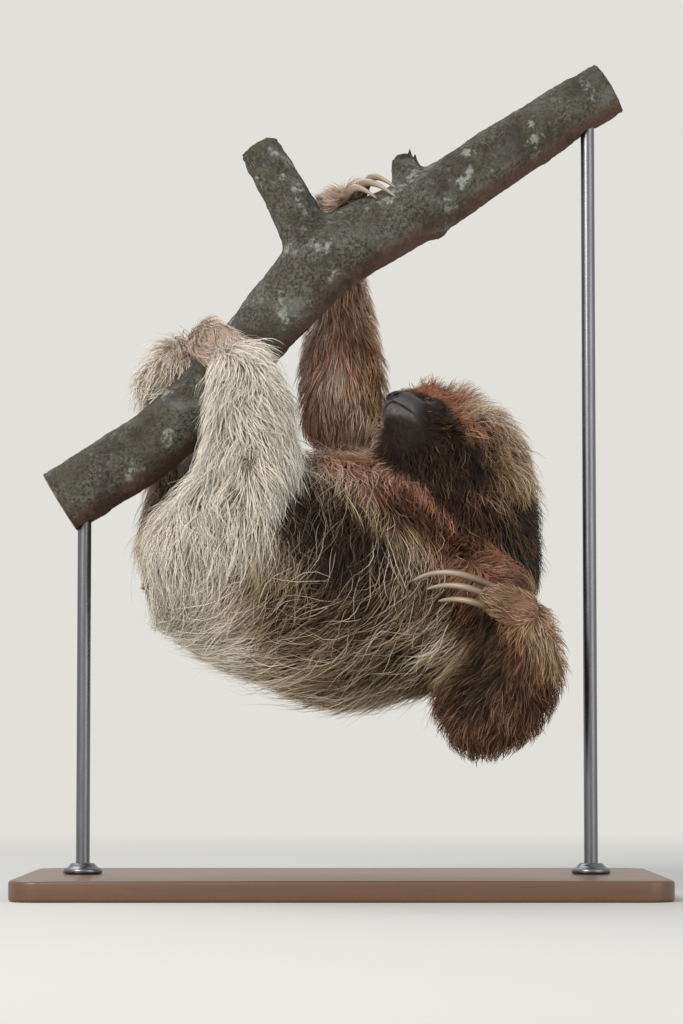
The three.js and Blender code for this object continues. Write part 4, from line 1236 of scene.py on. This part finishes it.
def smooth_line(stations):
    """A centripetal Catmull-Rom curve through the stations, in metres."""
    stations = np.array(stations, float)
    before_first, after_last = 2 * stations[0] - stations[1], 2 * stations[-1] - stations[-2]
    padded = np.vstack([before_first, stations, after_last])
    t = np.linspace(0, 1, PER_SPAN, endpoint=False)[:, None]
    made = []
    for a, b, c, d in zip(padded, padded[1:], padded[2:], padded[3:]):
        before, here, after = (np.linalg.norm(q - p) ** 0.5 for p, q in ((a, b), (b, c), (c, d)))
        leave = ((b - a) / before - (c - a) / (before + here) + (c - b) / here) * here
        arrive = ((c - b) / here - (d - b) / (here + after) + (d - c) / after) * here
        made.append(b * (2 * t**3 - 3 * t**2 + 1) + leave * (t**3 - 2 * t**2 + t)
                    + c * (3 * t**2 - 2 * t**3) + arrive * (t**3 - t**2))
    return np.vstack([*made, stations[-1:]]) * MM


limb_line = smooth_line(LIMB)
limb_way = unit(np.gradient(limb_line, axis=0))


def grip_at(x):
    """The branch's centre at x, the direction along it, and the direction square to it and up."""
    share = np.interp(x * MM, limb_line[:, 0], np.arange(len(limb_line)))
    index = int(round(share))
    centre = np.array([np.interp(share, np.arange(len(limb_line)), limb_line[:, k]) for k in range(3)])
    way = limb_way[index]
    return centre, way, unit(np.array((-way[2], 0, way[0])))


def round_branch(grip, near, degrees, distance, shift):
    """Places round the branch: 0 degrees is its near side (-1 left, 1 right), 90 its top."""
    centre, way, over = grip
    turn = np.radians(degrees)
    outward = np.cos(turn)[:, None] * np.array((0, near, 0.0)) + np.sin(turn)[:, None] * over
    return centre + outward * (distance * MM)[:, None] + way * (shift * MM)[:, None]

# %% [markdown]
# ## Claws
# The claws are the sloth's hooks: long horn sheaths, rounded on the back, grooved below, and drawn to a
# blunt point. Each one is a tube along its curve with that section. It starts inside the fur, where the
# toe's last bone would be. Fields along it and round it carry the fine lengthwise streaks of the horn, and
# its grooved underside is painted darker as shade.

# %% Shape the claws
horn = Finish("claw_horn", Roughness=0.34, Specular_IOR_Level=0.5)
on_horn = horn.node("ShaderNodeCombineXYZ", {}, (horn.field("around") * 6, horn.field("along") * 1.2, 0.0))
streaks = horn.cloud(3.0, 4, 0.6, place=on_horn)
back = horn.mix(horn.ramp(horn.field("along"), 0.0, 0.55), paint(112, 92, 72), paint(182, 165, 142))
back = horn.mix(horn.ramp(horn.field("along"), 0.6, 1.0) * 0.6, back, paint(204, 189, 168))
back = horn.mix(streaks * 0.6, back, paint(100, 79, 62))
# Painted shade: the grooved underside is mixed darker than the back.
horn.colour(horn.mix(horn.ramp(horn.field("inner"), 0.1, 0.8) * 0.7, back, paint(92, 68, 50)))
horn.relief(streaks, 0.3 * MM, 0.6)
CLAW_SIDES, CLAW_RINGS = 28, 40
HIDDEN = 0.3                  # the share of its length that a claw goes on inside the fur
CLAW_TIP = (0.95, 0.965, 0.98, 0.99, 0.996, 1.0)       # the last rings, closer for a round point


def claw(name, line, across, width, depth):
    """One claw along line(share), which is also asked a little before its start, inside the fur."""
    share = np.append(np.linspace(-HIDDEN, 0.93, CLAW_RINGS - len(CLAW_TIP)), CLAW_TIP)
    outside = np.clip(share, 0, 1)
    taper = (1 - outside) ** 0.52 * 0.9 + 0.1
    taper *= np.sqrt(np.clip((1.0 - share) / 0.035, 0, 1))
    taper[-1] = 0.02
    centre = line(share, taper)
    way = unit(np.gradient(centre, axis=0))
    side = unit(across - (way @ across)[:, None] * way)
    bend = centre[len(centre) // 2] * 2 - centre[8] - centre[-1]        # away from the hollow side
    up = np.cross(way, side)
    up *= np.sign(up[len(up) // 2] @ bend)
    turn = np.linspace(0, 2 * math.pi, CLAW_SIDES, endpoint=False)
    below = np.clip(-np.sin(turn), 0, 1)
    groove = 1 - 0.42 * below * np.exp(-((np.cos(turn) / 0.42) ** 2))
    wide = width * np.cos(turn)[:, None] * side[:, None]
    high = (depth * np.sin(turn) * groove)[:, None] * up[:, None]
    rings = centre[:, None] + MM * taper[:, None, None] * (wide + high)
    turned_over = np.cross(side[0], up[0]) @ way[0] <= 0
    body = ringed(rings, (centre[0], centre[-1] + way[-1] * 0.05 * MM), turned_over)

    def field(values, first, final):
        return np.append(values.ravel(), [first, final])

    claw_fields = {
        "along": field(np.repeat(outside, CLAW_SIDES), 0, 1),
        "around": field(np.tile(np.sin(turn) + 0.3 * np.cos(turn), CLAW_RINGS), 0, 0),
        "inner": field(np.tile(below, CLAW_RINGS), 0, 0),
    }
    piece_of(f"{name}_horn", *body, "claw_horn", horn, [name], claw_fields)


def round_claw(near, grip, start, end, radius, depth, arch):
    """A line round the branch: start and end are (degrees, shift along it)."""
    def line(share, taper):
        degrees, shift = (a + (b - a) * share for a, b in zip(start, end))
        lift = radius + CLEAR + depth * taper + arch * np.sin(math.pi * np.clip(share, 0, 1) ** 1.25)
        return round_branch(grip, near, degrees, lift, shift)
    return line


def free_claw(base, bend, tip):
    """A line in the open: a parabola from base to tip, drawn towards bend."""
    base, bend, tip = (np.array(place) * MM for place in (base, bend, tip))

    def line(share, taper):
        s = share[:, None]
        return base * (1 - s) ** 2 + bend * 2 * s * (1 - s) + tip * s ** 2
    return line


CLEAR = 1.5                                   # millimetres between a claw and the solid's bark
FORE, HIND = (3.4, 5.2), (3.1, 4.3)           # half width and half depth at the root
UNDER_HAND, UNDER_FEET = 32.5, 30             # the branch's radius there
TOE_APART = 12.5
hand_grip = grip_at(34)
hand_claws = (((92, -12), (140, 9)), ((86, -3), (155, 24)), ((78, 5), (140, 28)))
for number, (start, end) in enumerate(hand_claws, 1):
    line = round_claw(1, hand_grip, start, end, UNDER_HAND, FORE[1], 7)
    claw(f"right_hand_claw_{number}", line, hand_grip[1], *FORE)
feet = (("left", -1, grip_at(-95), 84, 176), ("right", 1, grip_at(-121), 50, 70))
for side, near, foot_grip, start, end in feet:
    for number in range(3):
        shift = (number - 1) * TOE_APART
        line = round_claw(near, foot_grip, (start, shift), (end, shift), UNDER_FEET, HIND[1], 4)
        claw(f"{side}_foot_claw_{number + 1}", line, foot_grip[1], *HIND)
scratching = (
    ((124, -118, 265), (86, -128, 284), (60, -101, 269)),
    ((124, -121, 255), (96, -133, 270), (72, -103, 262)),
    ((124, -118, 246), (100, -128, 256), (82, -101, 252)),
)
knuckles = unit(np.array(scratching[0][0], float) - scratching[2][0])
for number, places_along in enumerate(scratching, 1):
    claw(f"left_hand_claw_{number}", free_claw(*places_along), knuckles, *FORE)
print("claws: 12")

# %% [markdown]
# ## Bark
# The branch is a living limb with thin grey bark, green and white with lichen above and reddish brown and
# darker below, partly its own colour and partly painted shade, with a broken snag and two knots. Its solid
# is kneaded to even faces, which rounds the fork, and then every point is moved by noise: broad swellings,
# wrinkles across the grain and fine pitting, whose low places are painted darker as shade. The snag's end
# is torn into splinters.

# %% Grow the bark
BARK_VOXEL = 2.4 * MM
SAWN_REACH, SNAG_REACH = 45 * MM, 26 * MM      # how far round its end a cut or the snag goes
bark_points, bark_quads = kneaded(["perch_branch"], 0.0, BARK_VOXEL)
bark_edges = edges_of(bark_quads)
fork_line, stub_line = smooth_line(FORK), smooth_line(STUB)
sawn, rings_out = np.zeros(len(bark_points)), np.full(len(bark_points), 60.0)
bark_points = relaxed(bark_points, bark_edges, 3)
bark_out = normals_of(bark_points, bark_quads)
for end, way in (
    (limb_line[0], -limb_way[0]),
    (limb_line[-1], limb_way[-1]),
    (fork_line[-1], unit(fork_line[-1] - fork_line[-2])),
):
    from_heart = np.linalg.norm(bark_points - end, axis=1)
    close = from_heart < SAWN_REACH
    sawn = np.maximum(sawn, eased(bark_out @ way, 0.82, 0.97) * close)
    rings_out = np.where(close, from_heart / MM, rings_out)
round_share = 1 - eased(relaxed(sawn, bark_edges, 3), 0, 0.15)         # the sawn ends stay flat
rounder = relaxed(bark_points, bark_edges, 26)
bark_points = bark_points + (rounder - bark_points) * round_share[:, None]
bark_out = normals_of(bark_points, bark_quads)
snag = eased((bark_points - stub_line[0]) @ unit(stub_line[-1] - stub_line[0]) / MM, 34, 46)
snag *= np.linalg.norm(bark_points[:, :2] - stub_line[-1, :2], axis=1) < SNAG_REACH


def bark_height(place):
    """How far the bark stands out at a place, in millimetres."""
    p = Vector(place)
    broad = noise.noise(p * 28) * 1.4 + noise.noise(p * 75) * 0.7
    wrinkle = noise.noise(Vector((p.x * 150 + p.z * 230, p.y * 60, p.z * 20))) * 0.45
    pits = noise.fractal(p * 210, 0.9, 2.1, 3) * 0.5
    return broad + wrinkle + pits - 0.5


rough = np.array([bark_height(p) for p in bark_points.tolist()])
torn = np.array([noise.noise(Vector((p[0] * 420, p[1] * 420, p[2] * 60))) for p in bark_points.tolist()])
bark_points = bark_points + bark_out * (rough * MM * (1 - 0.8 * sawn))[:, None]
bark_points[:, 2] += (torn * 7 + 1.5) * MM * snag
under = np.clip(-bark_out[:, 2], 0, 1)
bark_fields = {"sawn": sawn, "ring": rings_out, "snag": snag, "under": under, "height": rough}
print("bark:", len(bark_quads), "faces, sawn", int((sawn > 0.5).sum()), "points")

# %% Mix the bark's finish
bark = Finish("bark_and_lichen", Roughness=0.86, Specular_IOR_Level=0.3)
speckle = bark.cloud(380, 5, 0.75)
mottle = bark.cloud(38, 5, 0.65)
grey = bark.mix(bark.ramp(speckle, 0.38, 0.64), paint(44, 40, 34), paint(98, 95, 86))
pale_grey = bark.mix(speckle, paint(92, 92, 86), paint(132, 133, 127))
grey = bark.mix(bark.ramp(mottle, 0.48, 0.68) * 0.6, grey, pale_grey)
grey = bark.mix(bark.ramp(bark.cloud(24, 3), 0.46, 0.66) * 0.6, grey, paint(62, 57, 48))
grey = bark.mix(bark.ramp(bark.cloud(70, 3), 0.5, 0.66) * 0.4, grey, paint(76, 82, 54))
crust = bark.ramp(bark.cloud(34, 4, 0.62), 0.57, 0.64) * bark.ramp(bark.cloud(160, 5, 0.75), 0.46, 0.56)
grey = bark.mix(crust * 0.75, grey, bark.mix(speckle, paint(122, 126, 116), paint(172, 174, 168)))
brown = bark.mix(speckle, paint(58, 40, 32), paint(112, 80, 66))
# Browner and darker towards the underside: partly the bark's own reddish colour, partly painted shade under
# the branch.
wood = bark.mix(bark.ramp(bark.field("under") + mottle * 0.5 - 0.25, 0.3, 0.8) * 0.85, grey, brown)
# Painted shade: the low places of the bark's relief are made darker.
wood = bark.mix(bark.ramp(bark.field("height"), -0.5, -1.3) * 0.5, wood, paint(40, 33, 28))
grain = bark.node("ShaderNodeMath", {"operation": "SINE"}, (bark.field("ring") * 3.4 + bark.cloud(90) * 3,))
heart = bark.mix(grain * 0.5 + 0.5, paint(176, 146, 106), paint(138, 106, 72))
wood = bark.mix(bark.ramp(bark.field("sawn"), 0.4, 0.7), wood, heart)
bark.colour(bark.mix(bark.ramp(bark.field("snag"), 0.5, 0.9) * 0.8, wood, paint(46, 36, 30)))
bark.relief(speckle * 0.6 + bark.cells(330) * 0.4, 0.6 * MM, 0.8)
corners = bark_quads.ravel()
starts = np.arange(0, len(corners), 4)
piece_of("perch_bark", bark_points, corners, starts, "bark", bark, ["perch_branch"], bark_fields)

# %% [markdown]
# ## The display stand
# The base is a walnut board with an eased edge, and two satin steel rods rise from turned collars into
# the branch. All three are profiles taken round an outline, so one helper makes them from rings of
# points.

# %% Turn and plane the stand
BAR_SIDES = 64


def turned_bar(node, profile):
    """Rings round a node's upright axis. profile gives (radius, height) in millimetres from its foot."""
    low, high = (np.array(corner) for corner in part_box(node))
    axis = (low + high) / 2
    turn = np.linspace(0, 2 * math.pi, BAR_SIDES, endpoint=False)
    wheel = np.stack([np.cos(turn), np.sin(turn), np.zeros(BAR_SIDES)], 1)
    return ringed([np.array((axis[0], axis[1], low[2] + h * MM)) + wheel * r * MM for r, h in profile])


steel = Finish("satin_steel", Metallic=1.0, Specular_IOR_Level=0.5)
brushed = steel.cloud(900, 3, 0.6, (1, 1, 0.02))
steel.colour(steel.mix(brushed, paint(92, 94, 98), paint(132, 134, 138)))
steel.roughness(steel.cloud(60) * 0.12 + 0.28)
walnut = Finish("walnut", Coat_Weight=0.25, Coat_Roughness=0.25)
figure = walnut.cloud(26, 5, 0.62, (0.12, 1, 1))
pores = walnut.cloud(520, 3, 0.7, (0.04, 1, 1))
planed = walnut.mix(figure, paint(66, 42, 28), paint(120, 82, 54))
walnut.colour(walnut.mix(walnut.ramp(pores, 0.6, 0.75) * 0.5, planed, paint(44, 28, 20)))
walnut.roughness(pores * 0.2 + 0.36)
walnut.relief(pores, 0.15 * MM, 0.5)

COLLAR = [(6.6, 0), (16.2, 0), (17, 0.8), (17, 3.4), (16.4, 4.2), (15.2, 4.8), (13.4, 5.4), (11.6, 7.0),
          (10.6, 8.4), (9.6, 9), (6.6, 9), (6.6, 4.5)]
ROD, ROD_END, BEVEL = 6, 5.2, 0.8             # the rod's radius, that of its ends, and the bevel's height
for side in ("left", "right"):
    rod, collar = f"stand_rod_{side}", f"stand_collar_{side}"
    low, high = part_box(rod)
    tall = (high.z - low.z) / MM
    shaft = [(ROD, height) for height in np.linspace(2, tall - 2, 12)]
    bar = [(ROD_END, 0), (ROD, BEVEL), *shaft, (ROD, tall - BEVEL), (ROD_END, tall)]
    piece_of(f"{side}_rod", *turned_bar(rod, bar), "rod_steel", steel, [rod])
    piece_of(f"{side}_collar", *turned_bar(collar, COLLAR), "rod_steel", steel, [collar])

# %% Plane the board
base_low, base_high = (np.array(corner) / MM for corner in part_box("stand_base"))
half = (base_high - base_low)[:2] / 2
CORNER, EASE = 26, 3          # the radius of the board's corners, and of its eased edge
quarter = np.radians(np.linspace(0, 90, 14))


def board_ring(inset, height):
    """The board's outline, drawn in by inset, at a height."""
    places = []
    for k, (sx, sy) in enumerate(((1, 1), (-1, 1), (-1, -1), (1, -1))):
        turn = quarter + k * math.pi / 2
        places += [(sx * (half[0] - CORNER) + (CORNER - inset) * math.cos(t),
                    sy * (half[1] - CORNER) + (CORNER - inset) * math.sin(t), height) for t in turn]
    return np.array(places) * MM


edge_turn = np.radians(np.linspace(0, 90, 7))
eased_edge = [(EASE * (1 - math.sin(t)), EASE * (1 - math.cos(t))) for t in edge_turn]
board = [board_ring(inset, height) for inset, height in eased_edge]
board += [board_ring(inset, base_high[2] - height) for inset, height in reversed(eased_edge)]
piece_of("walnut_board", *ringed(board), "base_wood", walnut, ["stand_base"])
print("stand: board", (base_high - base_low).round(), "mm")
